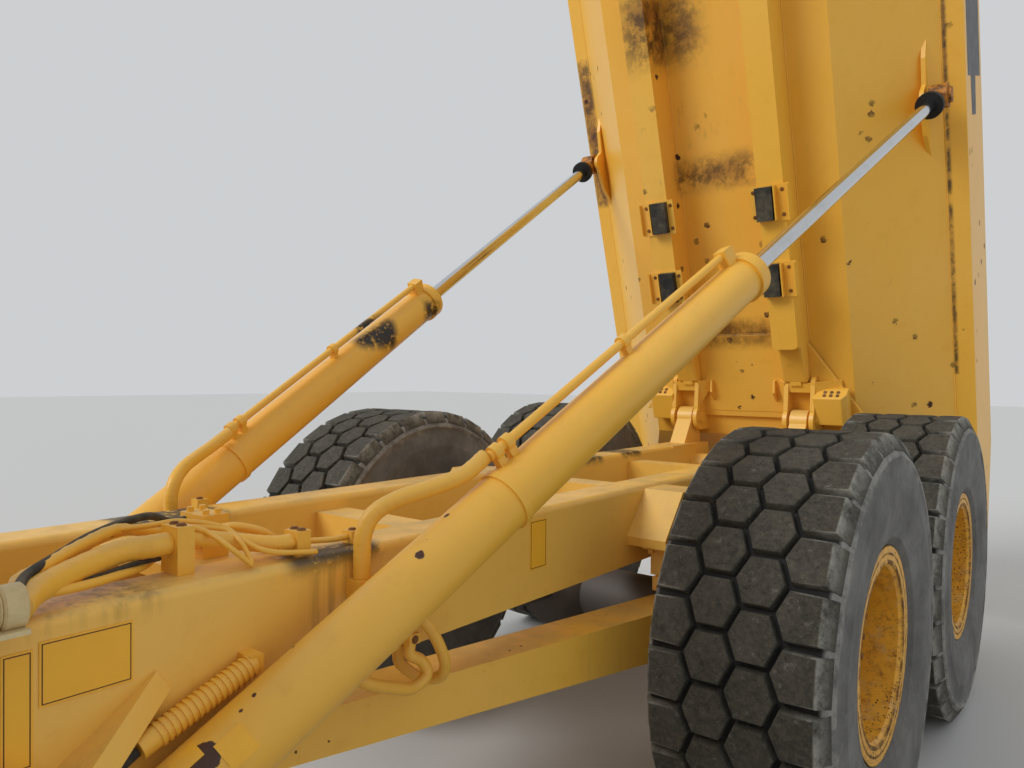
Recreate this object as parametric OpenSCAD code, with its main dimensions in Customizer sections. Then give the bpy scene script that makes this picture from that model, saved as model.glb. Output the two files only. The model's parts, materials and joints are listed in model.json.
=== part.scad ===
// Articulated dump truck, bed raised on two hoist cylinders.
// Millimetres. X runs to the machine's left, Y to its rear, Z up from the ground.
// Stations along Y are counted from the front bogie axle and shifted once at the end.

/* [Wheels] */
// Radius over the tread
tyre_r = 790; // [700:1:900]
// Widest width of a tyre
tyre_w = 600; // [400:1:800]
// Distance between the left and right wheel centres
track = 2258; // [1800:1:2600]
// Gap between the two bogie tyres of one side
bogie_clear = 90; // [50:1:200]
// Depth of the tread
tread = 34; // [10:1:45]
// Blocks in each row of the tread
tread_n = 29; // [20:1:36]
// Radius over the rim flange
rim_r = 381; // [300:1:420]
// Radius of the axle stub in a wheel hub
stub_r = 110; // [80:1:140]

/* [Stations] */
// Front axle
front_axle_y = -4175; // [-4600:1:-3800]
// Vertical steering pin
hitch_y = -2965; // [-3200:1:-2800]
// Front face of the nose
nose_y = -6939; // [-7200:1:-6600]
// Height of the axis on which the rear unit rolls
roll_z = 950; // [850:1:1050]

/* [Bed] */
// Station of the bed's hinge pin
hinge_y = 2140; // [2000:1:2300]
// Height of the bed's hinge pin
hinge_z = 1490; // [1400:1:1600]
// Angle to which the bed is raised
tilt = 73; // [60:0.5:76]
// Underside of the flat floor with the bed down
floor_z = 1600; // [1550:1:1650]
// Half width of the flat floor
floor_x = 715; // [600:1:800]
// Thickness of the bed plate
bed_t = 16; // [10:1:25]
// Top of the sides with the bed down
side_z = 2778; // [2600:1:2900]
// Station where the tail floor starts to rise
kink_y = 2300; // [2200:1:2400]
// Station of the tail's end
tail_y = 3281; // [3100:1:3400]
// Station where the top rail ends
rail_end_y = 2700; // [2500:1:2800]

/* [Hoist] */
// Base ball of the left cylinder
hoist_base = [545, -2340, 810];
// Rod eye of the left cylinder with the bed down
eye_low = [1195, 273, 1960];
// Outer radius of the barrel
barrel_r = 85; // [70:1:100]
// Radius of the piston rod
rod_r = 35; // [25:1:45]
// Length of the barrel from the base ball to the gland's face
barrel_len = 2703; // [2500:1:2800]

/* [Frame] */
// Inner face of a rear rail
rail_in = 300; // [250:1:350]
// Outer face of a rear rail
rail_out = 470; // [430:1:520]
// Top of a rear rail
rail_top = 1312; // [1280:1:1318]
// Underside of a rear rail
rail_low = 1000; // [950:1:1050]

/* [Fits] */
// Radial clearance of a pin or shaft that turns
run = 0.1; // [0.05:0.01:0.1]
// Gap between a rod end and its bracket
face_gap = 0.5; // [0.3:0.1:0.9]
// Clearance of a ball in its socket
ball_gap = 0.6; // [0.3:0.1:0.9]
// Gap between two pieces that are seated on each other
seat_gap = 0.3; // [0.1:0.1:0.5]

/* [Hidden] */
$fn = 48;
wheel_z = tyre_r;
bogie_gap = 2 * tyre_r + bogie_clear;
wheel_x = track / 2;
rear_extreme = hinge_y + (rail_end_y - hinge_y) * cos(tilt) + (side_z - hinge_z) * sin(tilt);
y_shift = -(nose_y + rear_extreme) / 2;
function raised(p) = [p[0],
  hinge_y + (p[1] - hinge_y) * cos(tilt) + (p[2] - hinge_z) * sin(tilt),
  hinge_z - (p[1] - hinge_y) * sin(tilt) + (p[2] - hinge_z) * cos(tilt)];
eye_up = raised(eye_low);
hoist_len = norm(eye_up - hoist_base);
hoist_dir = (eye_up - hoist_base) / hoist_len;
pin_z = roll_z;
cab_front = -5230;
hood_back = cab_front - 40;
cab_back = -3750;
cab_x = 780;
cab_floor = 1750;
cab_top = 3260;
steer_base = [380, hitch_y - 935, 880];
steer_eye = [300, hitch_y + 65, 880];
bulkhead_y = hitch_y - 335;
yoke_y = hitch_y + 465;
chassis_y = nose_y + 339;

module bx(x0, x1, y0, y1, z0, z1) translate([x0, y0, z0]) cube([x1 - x0, y1 - y0, z1 - z0]);
module sidex(x0, x1) translate([x0, 0, 0]) rotate([90, 0, 90]) linear_extrude(x1 - x0) children();
module crossy(y0, y1) translate([0, y1, 0]) rotate([90, 0, 0]) linear_extrude(y1 - y0) children();
module flatz(z0, z1) translate([0, 0, z0]) linear_extrude(z1 - z0) children();
module pair() { children(); mirror([1, 0, 0]) children(); }
module cylx(x0, x1, y, z, r) translate([x0, y, z]) rotate([0, 90, 0]) cylinder(h = x1 - x0, r = r);
module cyly(x, y0, y1, z, r) translate([x, y1, z]) rotate([90, 0, 0]) cylinder(h = y1 - y0, r = r);
module cylz(x, y, z0, z1, r) translate([x, y, z0]) cylinder(h = z1 - z0, r = r);
module between(p, q) {
  v = q - p;
  translate(p) rotate([0, acos(v[2] / norm(v)), atan2(v[1], v[0])]) children();
}
module bar(p, q, r) between(p, q) cylinder(h = norm(q - p), r = r);
module placed() translate([0, y_shift, 0]) children();
module raise_bed() translate([0, hinge_y, hinge_z]) rotate([-tilt, 0, 0]) translate([0, -hinge_y, -hinge_z]) children();

// Wheels
tyre_half = tyre_w / 2;
base_r = tyre_r - tread;
bead = rim_r - 50.8;
tyre_outer = [[bead, 246.7], [bead + 56, 246.7], [bead + 64, 262], [bead + 120, 286], [530, tyre_half - 2],
  [600, tyre_half], [670, tyre_half - 3], [base_r - 31, tyre_half - 11], [base_r, tyre_half - 30]];
tyre_inner = [[base_r - 21, 0], [base_r - 31, 215], [base_r - 41, 262], [600, tyre_half - 24], [bead + 150, 262],
  [bead + 54, 230], [bead + 15, 205], [bead, 205]];
// One tread block, six-sided as seen from outside, from x0 to x1 across the tyre. n0 and n1 are the lengths of its
// points, which reach between the blocks of the next row; a shoulder block has no outer point
module tread_block(x0, x1, n0, n1, long) translate([0, 0, base_r - 12]) linear_extrude(tread + 8.4)
  polygon(concat(n0 > 0 ? [[x0, 0]] : [], [[x0 + n0, -long / 2], [x1 - n1, -long / 2]], n1 > 0 ? [[x1, 0]] : [],
    [[x1 - n1, long / 2], [x0 + n0, long / 2]]));
module tyre_shape() {
  long = 0.87 * 360 / tread_n * PI / 180 * tyre_r;
  edge = tyre_half - 32;
  rotate([0, 90, 0]) rotate_extrude() polygon(concat(
    tyre_outer, [for (i = [len(tyre_outer) - 1:-1:0]) [tyre_outer[i][0], -tyre_outer[i][1]]],
    [for (i = [len(tyre_inner) - 1:-1:1]) [tyre_inner[i][0], -tyre_inner[i][1]]], tyre_inner));
  for (k = [0:tread_n - 1]) {
    rotate([k * 360 / tread_n, 0, 0]) {
      tread_block(-10, 146, 34, 34, long);
      tread_block(-edge, -126, 0, 34, long);
    }
    rotate([(k + 0.5) * 360 / tread_n, 0, 0]) {
      tread_block(-146, 10, 34, 34, long);
      tread_block(126, edge, 34, 0, long);
    }
  }
}
module rim_shape() {
  rotate([0, 90, 0]) rotate_extrude() polygon([[329.9, -247], [329.9, 247], [rim_r, 247], [rim_r, 262],
      [318, 262], [306, 244], [306, 10], [292, -20], [215, -20], [200, 0], [190, 110], [170, 135], [0, 135],
      [0, 100], [stub_r + run, 100], [stub_r + run, -120], [230, -120], [230, -60], [306, -60], [306, -244],
      [318, -262], [rim_r, -262], [rim_r, -247]]);
  for (a = [0:30:330]) rotate([a, 0, 0]) cylx(-30, -2, 0, 255, 16);
}
module wheel_at(side, y) translate([side * wheel_x, y, wheel_z]) scale([side, 1, 1]) children();
module tyre_front_left() color("dimgray") placed() wheel_at(1, front_axle_y) tyre_shape();
module tyre_front_right() color("dimgray") placed() wheel_at(-1, front_axle_y) tyre_shape();
module tyre_middle_left() color("dimgray") placed() wheel_at(1, 0) tyre_shape();
module tyre_middle_right() color("dimgray") placed() wheel_at(-1, 0) tyre_shape();
module tyre_rear_left() color("dimgray") placed() wheel_at(1, bogie_gap) tyre_shape();
module tyre_rear_right() color("dimgray") placed() wheel_at(-1, bogie_gap) tyre_shape();
module rim_front_left() color("goldenrod") placed() wheel_at(1, front_axle_y) rim_shape();
module rim_front_right() color("goldenrod") placed() wheel_at(-1, front_axle_y) rim_shape();
module rim_middle_left() color("goldenrod") placed() wheel_at(1, 0) rim_shape();
module rim_middle_right() color("goldenrod") placed() wheel_at(-1, 0) rim_shape();
module rim_rear_left() color("goldenrod") placed() wheel_at(1, bogie_gap) rim_shape();
module rim_rear_right() color("goldenrod") placed() wheel_at(-1, bogie_gap) rim_shape();

// Tractor chassis
tr_low = 960;
tr_top = 1240;
module front_frame() color("goldenrod") placed() {
  pair() bx(230, 330, chassis_y, bulkhead_y, tr_low, tr_top);
  bx(-230, 230, chassis_y, chassis_y + 100, tr_low, tr_top);
  bx(-230, 230, -5300, -5180, tr_low, tr_top);
  bx(-230, 230, -4000, -3900, tr_low, tr_top);
  // Rear bulkhead and the two lugs of the steering pin
  bx(-230, 230, bulkhead_y - 40, bulkhead_y, 640, 1260);
  for (z = [[640, 700], [1200, 1260]]) difference() {
    union() {
      bx(-150, 150, bulkhead_y, hitch_y, z[0], z[1]);
      cylz(0, hitch_y, z[0], z[1], 150);
    }
    cylz(0, hitch_y, z[0] - 1, z[1] + 1, 50 + run);
  }
  pair() {
    sidex(140, 160) polygon([[bulkhead_y, 1200], [bulkhead_y, 1000], [bulkhead_y + 120, 1200]]);
    sidex(140, 160) polygon([[bulkhead_y, 700], [bulkhead_y, 860], [bulkhead_y + 120, 700]]);
    // Axle seats
    bx(230, 330, front_axle_y - 130, front_axle_y + 130, 870, tr_low);
    // Bracket of the steering barrel
    difference() {
      sidex(steer_base[0] - 70, steer_base[0] + 70)
        polygon([for (p = [[-90, tr_low + 60], [-90, 930], [50, 930], [50, tr_low + 60]]) [steer_base[1] + p[0], p[1]]]);
      bx(310, 330, steer_base[1] - 100, steer_base[1] + 100, tr_low, tr_low + 100);
    }
    // Cab and hood supports
    bx(330, 700, -5300, -5240, 1140, tr_top);
    bx(330, 700, -3900, -3840, 1140, tr_top);
    bx(620, 700, -5300, -5240, tr_top, cab_floor - 60);
    bx(620, 700, -3900, -3840, tr_top, cab_floor - 60);
  }
}
module front_axle() color("dimgray") placed() {
  difference() {
    union() {
      translate([0, front_axle_y, wheel_z]) sphere(r = 210);
      cylx(-850, 850, front_axle_y, wheel_z, 120);
      cylx(-wheel_x - 95, wheel_x + 95, front_axle_y, wheel_z, stub_r);
    }
    bx(-340, 340, front_axle_y - 140, front_axle_y + 140, 870, 1100);
  }
  pair() cylx(760, 860, front_axle_y, wheel_z, 200);
}
module engine() color("gray") placed() {
  bx(-330, 330, chassis_y + 250, -5350, tr_top, 1950);
  bx(-200, 200, -5350, -4700, tr_top, 1600);
}
module radiator() color("dimgray") placed() bx(-480, 480, chassis_y + 40, chassis_y + 160, tr_top, 2080);
module front_bumper() color("goldenrod") placed() {
  difference() {
    bx(-1200, 1200, nose_y, nose_y + 180, 720, 1160);
    bx(-1150, 1150, nose_y + 25, nose_y + 181, 760, 1130);
  }
  pair() {
    bx(230, 330, nose_y + 25, chassis_y, 940, 1140);
    difference() {
      union() {
        bx(420, 460, nose_y + 25, nose_y + 130, 560, 760);
        cylx(420, 460, nose_y + 78, 580, 52.5);
      }
      cylx(419, 461, nose_y + 78, 580, 25);
    }
  }
}
module front_mudguards() color("dimgray") placed() pair() {
  sidex(840, 1410) polygon([[-5190, 1330], [-5170, 1330], [-5060, 1755], [-3400, 1755], [-3230, 1500],
    [-3210, 1510], [-3390, 1775], [-5075, 1775]]);
  bx(780.3, 840, -5060, -3760, 1755, 1775);
}
module access_steps() color("dimgray") placed() pair() {
  for (z = [520, 820, 1120, 1420]) bx(860, 1180, -5480 , -5260, z, z + 25);
  bx(840, 860, -5480, -5260, 500, 1775);
  bx(1180, 1200, -5480, -5260, 500, 1775);
  bx(800, 1410, -5480, -5190, 1755, 1775);
  bx(700, 840, -5420, -5330, 1100, 1160);
}
module tanks() color("dimgray") placed() {
  bx(330.3, 760, -5180, -5000, 900, 1500);
  bx(-760, -330.3, -5180, -5000, 900, 1500);
}
// Cab
cab_side = [[cab_front, cab_floor], [cab_front, 2260], [cab_front + 190, cab_top], [cab_back, cab_top],
  [cab_back, cab_floor]];
door_y0 = -4960;
door_y1 = -4120;
door_hinge_x = cab_x + 22;
module cab_shell() color("goldenrod") placed() {
  difference() {
    sidex(-cab_x, cab_x) polygon(cab_side);
    sidex(-cab_x + 45, cab_x - 45) polygon([[cab_front + 45, cab_floor + 50], [cab_front + 45, 2262],
      [cab_front + 228, cab_top + 1], [cab_back - 45, cab_top + 1], [cab_back - 45, cab_floor + 50]]);
    // Windscreen, rear window, right windows, left windows and the doorway
    bx(-700, 700, cab_front - 1, -4900, 2300, 3190);
    bx(-680, 680, cab_back - 60, cab_back + 1, 2350, 3190);
    bx(-cab_x - 1, -cab_x + 46, -4900, -3850, 2350, 3190);
    bx(cab_x - 46, cab_x + 1, -4060, -3850, 2350, 3190);
    bx(cab_x - 46, cab_x + 1, door_y0, door_y1, cab_floor + 50, 3190);
  }
  bx(-760, 760, cab_front + 40, cab_back - 20, cab_floor - 60, cab_floor);
  // Hinge lugs and pins of the door
  for (z = [2000, 2900]) {
    bx(cab_x - 1, door_hinge_x, door_y1 + 8, door_y1 + 24, z, z + 50);
    cylz(door_hinge_x, door_y1, z, z + 50, 16);
    bx(door_hinge_x - 16, door_hinge_x, door_y1, door_y1 + 24, z, z + 50);
    cylz(door_hinge_x, door_y1, z + 49, z + 110, 8);
  }
}
module cab_roof() color("goldenrod") placed() {
  sidex(-cab_x - 20, cab_x + 20) polygon([[-5180, cab_top], [-5160, cab_top + 55], [-4900, cab_top + 85],
    [-3900, cab_top + 85], [-3700, cab_top + 55], [-3700, cab_top]]);
}
module cab_glass() color([0.5, 0.6, 0.65, 0.4]) placed() {
  intersection() {
    sidex(-700, 700) polygon([[cab_front + 20, 2100], [cab_front + 20, 2258], [cab_front + 208, cab_top],
      [cab_front + 214, cab_top], [cab_front + 28, 2258], [cab_front + 28, 2100]]);
    bx(-700, 700, cab_front - 1, -4900, 2300, 3190);
  }
  bx(-680, 680, cab_back - 30, cab_back - 22, 2350, 3190);
  bx(-cab_x + 20, -cab_x + 28, -4900, -3850, 2350, 3190);
  bx(cab_x - 28, cab_x - 20, -4060, -3850, 2350, 3190);
}
module cab_door() color("goldenrod") placed() difference() {
  union() {
    bx(cab_x - 40, cab_x, door_y0 + 6, door_y1 - 6, cab_floor + 56, 3184);
    for (z = [2000, 2900]) {
      cylz(door_hinge_x, door_y1, z + 50.5, z + 110, 16);
      bx(cab_x - 5, door_hinge_x, door_y1 - 34, door_y1 - 8, z + 50.5, z + 110);
    }
    bx(cab_x - 1, cab_x + 22, door_y0 + 20, door_y0 + 50, 2080, 2200);
  }
  bx(cab_x - 41, cab_x + 1, door_y0 + 70, door_y1 - 70, 2250, 3110);
  for (z = [2000, 2900]) cylz(door_hinge_x, door_y1, z + 49, z + 111, 8 + run);
}
module door_glass() color([0.5, 0.6, 0.65, 0.4]) placed()
  bx(cab_x - 24, cab_x - 16, door_y0 + 70, door_y1 - 70, 2250, 3110);
module seat() color("dimgray") placed() {
  bx(-130, 130, -4560, -4320, cab_floor + 50, 2080);
  bx(-250, 250, -4690, -4180, 2080, 2210);
  sidex(-240, 240) polygon([[-4290, 2210], [-4180, 2210], [-4070, 2860], [-4160, 2860]]);
}
module dashboard() color("dimgray") placed() {
  sidex(-700, 700) polygon([[cab_front + 45, cab_floor + 50], [cab_front + 45, 2262], [cab_front + 62, 2340],
    [-4990, 2300], [-4990, 2150], [-5100, cab_floor + 50]]);
  bar([0, -5000, 2200], [0, -4880, 2330], 35);
  translate([0, -4880, 2330]) rotate([-42.7, 0, 0]) {
    rotate_extrude() translate([200, 0]) circle(r = 16);
    cylinder(h = 24, r = 55, center = true);
    for (a = [90, 210, 330]) rotate([0, 0, a]) translate([0, -14, -8]) cube([200, 28, 16]);
  }
}
// Hood
module hood() color("goldenrod") placed() {
  difference() {
    sidex(-620, 620) polygon([[nose_y + 25, 1210], [nose_y + 25, 1500], [nose_y + 120, 2150], [-5600, 2330],
      [hood_back, 2360], [hood_back, 1320], [nose_y + 439, 1210]]);
    sidex(-600, 600) polygon([[nose_y + 50, 1200], [nose_y + 50, 1500], [nose_y + 142, 2128], [-5600, 2308],
      [hood_back + 10, 2336], [hood_back + 10, 1100], [nose_y + 439, 1100]]);
    bx(-480, 480, nose_y - 50, nose_y + 200, 1340, 2020);
  }
}
module grille() color("dimgray") placed() {
  for (i = [0:8]) bx(-480, 480, nose_y + 40 + i * 11, nose_y + 60 + i * 11, 1380 + i * 72, 1400 + i * 72);
  for (x = [-300, 0, 300]) sidex(x - 10, x + 10) polygon([[nose_y + 60, 1340], [nose_y + 60, 1500], [nose_y + 148, 2020],
    [nose_y + 168, 2020], [nose_y + 80, 1500], [nose_y + 80, 1340]]);
}
module head_lamps() color("whitesmoke") placed() pair() {
  for (x = [735, 915]) cyly(x, nose_y + 30, nose_y + 130, 1250, 75);
  bx(640, 1010, nose_y + 100, nose_y + 180, 1160.3, 1340);
}
module exhaust_stack() color("dimgray") placed() {
  cylz(-712, -5400, 1240, 2100, 80);
  cylz(-712, -5400, 2100, 3100, 55);
  bx(-740, -680, -5400, -5300.3, 1300, 1360);
}
module mirrors() color("dimgray") placed() pair() {
  bx(800.3, 830, -5160, -5120, cab_top + 5, cab_top + 45);
  bar([815, -5140, cab_top + 25], [1180, -5200, cab_top - 60], 16);
  translate([1180, -5200, cab_top - 60]) sphere(r = 20);
  bar([1180, -5200, cab_top - 60], [1180, -5200, 2560], 16);
  bx(1080, 1300, -5260, -5216, 2600, 3060);
}
module handrails() color("goldenrod") placed() pair() {
  bar([1380, -5440, 1775.3], [1380, -5440, 2800], 20);
  bar([1380, -5440, 2800], [1380, -4700, 2800], 20);
  bar([1380, -4700, 2800], [1380, -4700, 1775.3], 20);
  translate([1380, -5440, 2800]) sphere(r = 22);
  translate([1380, -4700, 2800]) sphere(r = 22);
}

// Hitch between the two units
module hitch() color("goldenrod") placed() {
  difference() {
    union() {
      cylz(0, hitch_y, 706, 1194, 135);
      cylz(0, hitch_y, 620, 1280, 50);
      bx(-180, 180, hitch_y, hitch_y + 135, 740, 1160);
      cyly(0, hitch_y + 135, yoke_y - 85, roll_z, 235);
      pair() for (z = [790, 925]) {
        bx(0, 300, hitch_y + 5, hitch_y + 125, z, z + 45);
        cylz(steer_eye[0], steer_eye[1], z, z + 45, 60);
      }
    }
    cyly(0, hitch_y + 140, yoke_y, roll_z, 170 + run);
  }
}
module steer_cylinder_body() {
  between(steer_base, steer_eye) {
    cylinder(h = 560, r = 45);
    translate([0, 0, 560]) cylinder(h = 40, r = 52);
  }
  cylz(steer_base[0], steer_base[1], 830, 930, 55);
}
module steer_barrels() color("goldenrod") placed() pair() difference() {
  steer_cylinder_body();
  between(steer_base, steer_eye) translate([0, 0, 80]) cylinder(h = 700, r = 25 + run);
}
module steer_rod() {
  between(steer_base, steer_eye) translate([0, 0, 380]) cylinder(h = norm(steer_eye - steer_base) - 380, r = 25);
  cylz(steer_eye[0], steer_eye[1], 845, 915, 48);
  cylz(steer_eye[0], steer_eye[1], 835 + face_gap, 925 - face_gap, 28);
}
module steer_rod_left() color("silver") placed() steer_rod();
module steer_rod_right() color("silver") placed() mirror([1, 0, 0]) steer_rod();

// Rear frame
module rear_rail() {
  difference() {
    union() {
      sidex(rail_in, rail_out) polygon([[yoke_y, rail_top], [yoke_y, 700], [-2150, 700], [-1560, rail_low],
        [2300, rail_low], [2250, rail_top]]);
      // Lug of the bed's hinge
      sidex(345, 455) polygon([[1960, rail_top], [2075, hinge_z], [2205, hinge_z], [2215, rail_top]]);
      cylx(345, 455, hinge_y, hinge_z, 75);
    }
    cylx(340, 460, hinge_y, hinge_z, 40 + run);
    // Rounded top edges, ahead of the hinge's lug
    for (x = [rail_in, rail_out]) difference() {
      bx(x - 24, x + 24, yoke_y - 1, 1700, rail_top - 24, rail_top + 1);
      cyly(x == rail_in ? x + 24 : x - 24, yoke_y - 2, 1701, rail_top - 24, 24);
      bx(rail_in + 24, rail_out - 24, yoke_y - 2, 1701, rail_top - 30, rail_top + 2);
    }
  }
}
module rear_frame() color("goldenrod") placed() {
  pair() rear_rail();
  bx(-rail_out, rail_out, yoke_y - 60, yoke_y, 700, rail_top);
  cyly(0, hitch_y + 145, yoke_y - 60, roll_z, 170);
  // Bracket of the hoses' block, the stiffeners over the hoist's base and the first hose's holder
  bx(-rail_in - 30, rail_in + 30, -2000, -1760, 1240, 1280);
  pair() {
    translate([rail_out - 5, -2184, 1148]) rotate([214.6, 0, 0]) {
      linear_extrude(16) polygon([[0, 0], [12, 0], [140, 300], [0, 300]]);
      linear_extrude(56) polygon([[0, 0], [12, 0], [140, 300], [122, 300]]);
    }
    crossy(yoke_y - 10, yoke_y + 22) polygon([[rail_out - 5, 1100], [rail_out + 90, 1040], [rail_out + 90, 905],
      [rail_out - 5, 905]]);
  }
  for (y = [-1200, 100, 1100]) bx(-rail_in, rail_in, y, y + 140, 1080, 1260);
  cylx(-rail_in, rail_in, 2060, 1150, 90);
  // Seat of the stays' ball joint
  bx(-rail_in, rail_in, -2260, -2060, 842, 872);
  cylz(0, -2150, 730, 860, 30);
  // Ball pins of the hoist cylinders
  pair() {
    cylx(rail_out - 5, 610, hoist_base[1], hoist_base[2], 27);
    cylx(596, 616, hoist_base[1], hoist_base[2], 46);
    translate(hoist_base) sphere(r = 58);
    sidex(rail_out - 5, rail_out + 14) circle_at(hoist_base[1], hoist_base[2], 95);
  }
}
module circle_at(y, z, r) translate([y, z]) circle(r = r);
module rear_axles() color("dimgray") placed() for (y = [0, bogie_gap]) {
  translate([0, y, wheel_z]) rotate([0, 90, 0]) sphere(r = 200);
  cylx(-850, 850, y, wheel_z, 115);
  cyly(0, y == 0 ? -330 : y - 300, y == 0 ? 300 : y, wheel_z + 60, 85);
  pair() cylx(760, 860, y, wheel_z, 200);
  cylx(-wheel_x - 95, wheel_x + 95, y, wheel_z, stub_r);
}
module bogie_beams() color("goldenrod") placed() pair() {
  mid = bogie_gap / 2;
  sidex(560, 700) polygon([[-180, wheel_z + 115], [180, wheel_z + 115], [mid - 315, wheel_z + 50],
    [mid + 315, wheel_z + 50], [bogie_gap - 180, wheel_z + 115], [bogie_gap + 180, wheel_z + 115],
    [bogie_gap + 180, wheel_z + 170], [mid + 365, wheel_z + 170], [mid, wheel_z + 190],
    [mid - 365, wheel_z + 170], [-180, wheel_z + 170]]);
  bx(rail_out + seat_gap, 690, mid - 90, mid + 90, wheel_z + 110, 1100);
}
function bracket(t) = [[-85 + t, 1300 - t], [-235 + 1.4 * t, 1122], [-228 + 1.4 * t, 1085 - t], [228 - 1.4 * t, 1085 - t],
  [235 - 1.4 * t, 1122], [85 - t, 1300 - t]];
module spring_mounts() color("goldenrod") placed() pair() {
  // Folded bracket, open below, and the block on the bogie beam
  difference() {
    sidex(rail_out + seat_gap, 645) polygon(bracket(0));
    sidex(rail_out + 14, 646) polygon(bracket(16));
  }
  bx(535, 665, -150, 150, wheel_z + 170.3, 1085);
  bx(515, 685, -190, 190, 1070, 1096);
  for (x = [545, 655], y = [-165, 165]) cylz(x, y, 1050, 1118, 13);
}
module a_stays() color("goldenrod") placed() {
  difference() {
    intersection() {
      flatz(600, 1000) polygon([[-740, -122], [-560, -122], [-60, -2060], [60, -2060], [560, -122], [740, -122],
        [200, -2150], [80, -2230], [-80, -2230], [-200, -2150]]);
      sidex(-800, 800) polygon([[-122, 690], [-122, 880], [-2240, 830], [-2240, 720]]);
    }
    cylz(0, -2150, 600, 1000, 30 + run);
  }
}
module drive_shafts() color("dimgray") placed() {
  bar([0, yoke_y + 3, roll_z], [0, -334, wheel_z + 60.5], 52);
  bar([0, -560, wheel_z + 60 + (roll_z - wheel_z - 60) * 0.106], [0, -346, wheel_z + 61], 72);
  cyly(0, 300.3, bogie_gap - 300.3, wheel_z + 60, 45);
}

// Bed, drawn lowered and then raised about its hinge
bed_out = [[floor_x, floor_z], [1190, 2130], [1373, 2150], [1373, 2250], [1262, 2250], [1262, side_z - 130],
  [1350, side_z - 130], [1350, side_z]];
bed_in = [[floor_x - 10, floor_z + bed_t], [1175, 2146], [1245, 2250], [1245, side_z + 200]];
function both_sides(p) = concat(p, [for (i = [len(p) - 1:-1:0]) [-p[i][0], p[i][1]]]);
module bed_shell() color("goldenrod") placed() raise_bed() {
  difference() {
    intersection() {
      crossy(-2100, tail_y + 100) polygon(both_sides(bed_out));
      sidex(-1400, 1400) polygon([[-1600, floor_z], [kink_y, floor_z], [tail_y, 2130], [tail_y, 2480],
        [rail_end_y, side_z], [-2060, side_z], [-1985, 2130]]);
    }
    intersection() {
      crossy(-2100, tail_y + 200) polygon(both_sides(bed_in));
      sidex(-1400, 1400) polygon([[-1590, floor_z + bed_t], [kink_y - 4, floor_z + bed_t], [tail_y + 10, 2154],
        [tail_y + 10, side_z + 100], [-2052, side_z + 100], [-1968, 2138]]);
    }
  }
  // Guard over the front wall
  sidex(-1262, 1262) polygon([[-2060, side_z], [-2350, 3300], [-2330, 3300], [-2040, side_z]]);
  pair() sidex(1247, 1262) polygon([[-2048, side_z], [-2330, 3290], [-1500, side_z]]);
}
module bed_rails() color("goldenrod") placed() raise_bed() {
  pair() {
    difference() {
      bx(rail_in, 460, -1560, 1620, 1370, floor_z);
      bx(rail_in + 14, 446, 1480, 1621, 1384, floor_z - 6);
      // Rounded corners of the open end
      for (x = [rail_in, 460]) difference() {
        bx(x - 30, x + 30, 1590, 1621, 1360, 1384);
        cylz(x == rail_in ? x + 30 : x - 30, 1590, 1359, 1385, 30);
        bx(rail_in + 30, 430, 1580, 1622, 1359, 1385);
      }
    }
    bx(345, 415, 1500, 1900, 1500, floor_z);
    // Brackets of the pads: a plate with two flanges
    for (y = [-1540, 595, 1060]) {
      bx(258, 494, y, y + 220, 1362, 1371);
      bx(410, 418, y + 8, y + 212, 1322, 1363);
      bx(486, 494, y + 8, y + 212, 1334, 1400);
    }
    // Hinge ears and their pin
    for (x = [302, 472]) {
      sidex(x, x + 28) polygon([[1852, floor_z], [1852, 1545], [1872, 1520], [2055, 1450], [2225, 1470], [2260, floor_z]]);
      cylx(x, x + 28, hinge_y, hinge_z, 88);
    }
    cylx(290, 512, hinge_y, hinge_z, 40);
    // Cross bar between the ears, sloping wings with their side plates, and the cast block
    bx(302, 500, 1885, 1948, 1512, 1532);
    bx(302, 500, 1885, 1900, 1530, floor_z);
    translate([499, 1880, 1506]) rotate([0, -atan((floor_z - 1522) / 156), 0]) linear_extrude(14)
      polygon([[0, 0], [168, 0], [168, 30], [0, 150]]);
    translate([303, 1880, 1506]) mirror([1, 0, 0]) rotate([0, -atan((floor_z - 1496) / 92), 0]) linear_extrude(14)
      polygon([[0, 0], [112, 0], [112, 40], [0, 170]]);
    sidex(215, 229) polygon([[1882, 1545], [1882, floor_z], [2080, floor_z], [1960, 1520]]);
    crossy(1975, 2110) polygon([[495, floor_z], [495, 1468], [612, 1468], [642, 1498], [642, floor_z]]);
  }
  flatz(floor_z - 25, floor_z) polygon([[-690, 2150], [-389, 1600], [389, 1600], [690, 2150]]);
  // Plate brackets of the rod eyes
  pair() difference() {
    union() {
      sidex(1100, 1124) polygon([[-70, 2060], [40, 2000], [190, 1985], [225, 1930], [330, 1915], [480, 1960],
        [610, 2060]]);
      cylx(1100, 1124, eye_low[1], eye_low[2], 62);
    }
    crossy(-200, 800) polygon([[floor_x, floor_z], [1190, 2130], [1190, 2400], [floor_x, 2400]]);
  }
}
module bed_pads() color("dimgray") placed() raise_bed() pair()
  for (y = [-1530, 605, 1070]) bx(300, 400, y, y + 200, 1318, 1362 - seat_gap);

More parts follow.
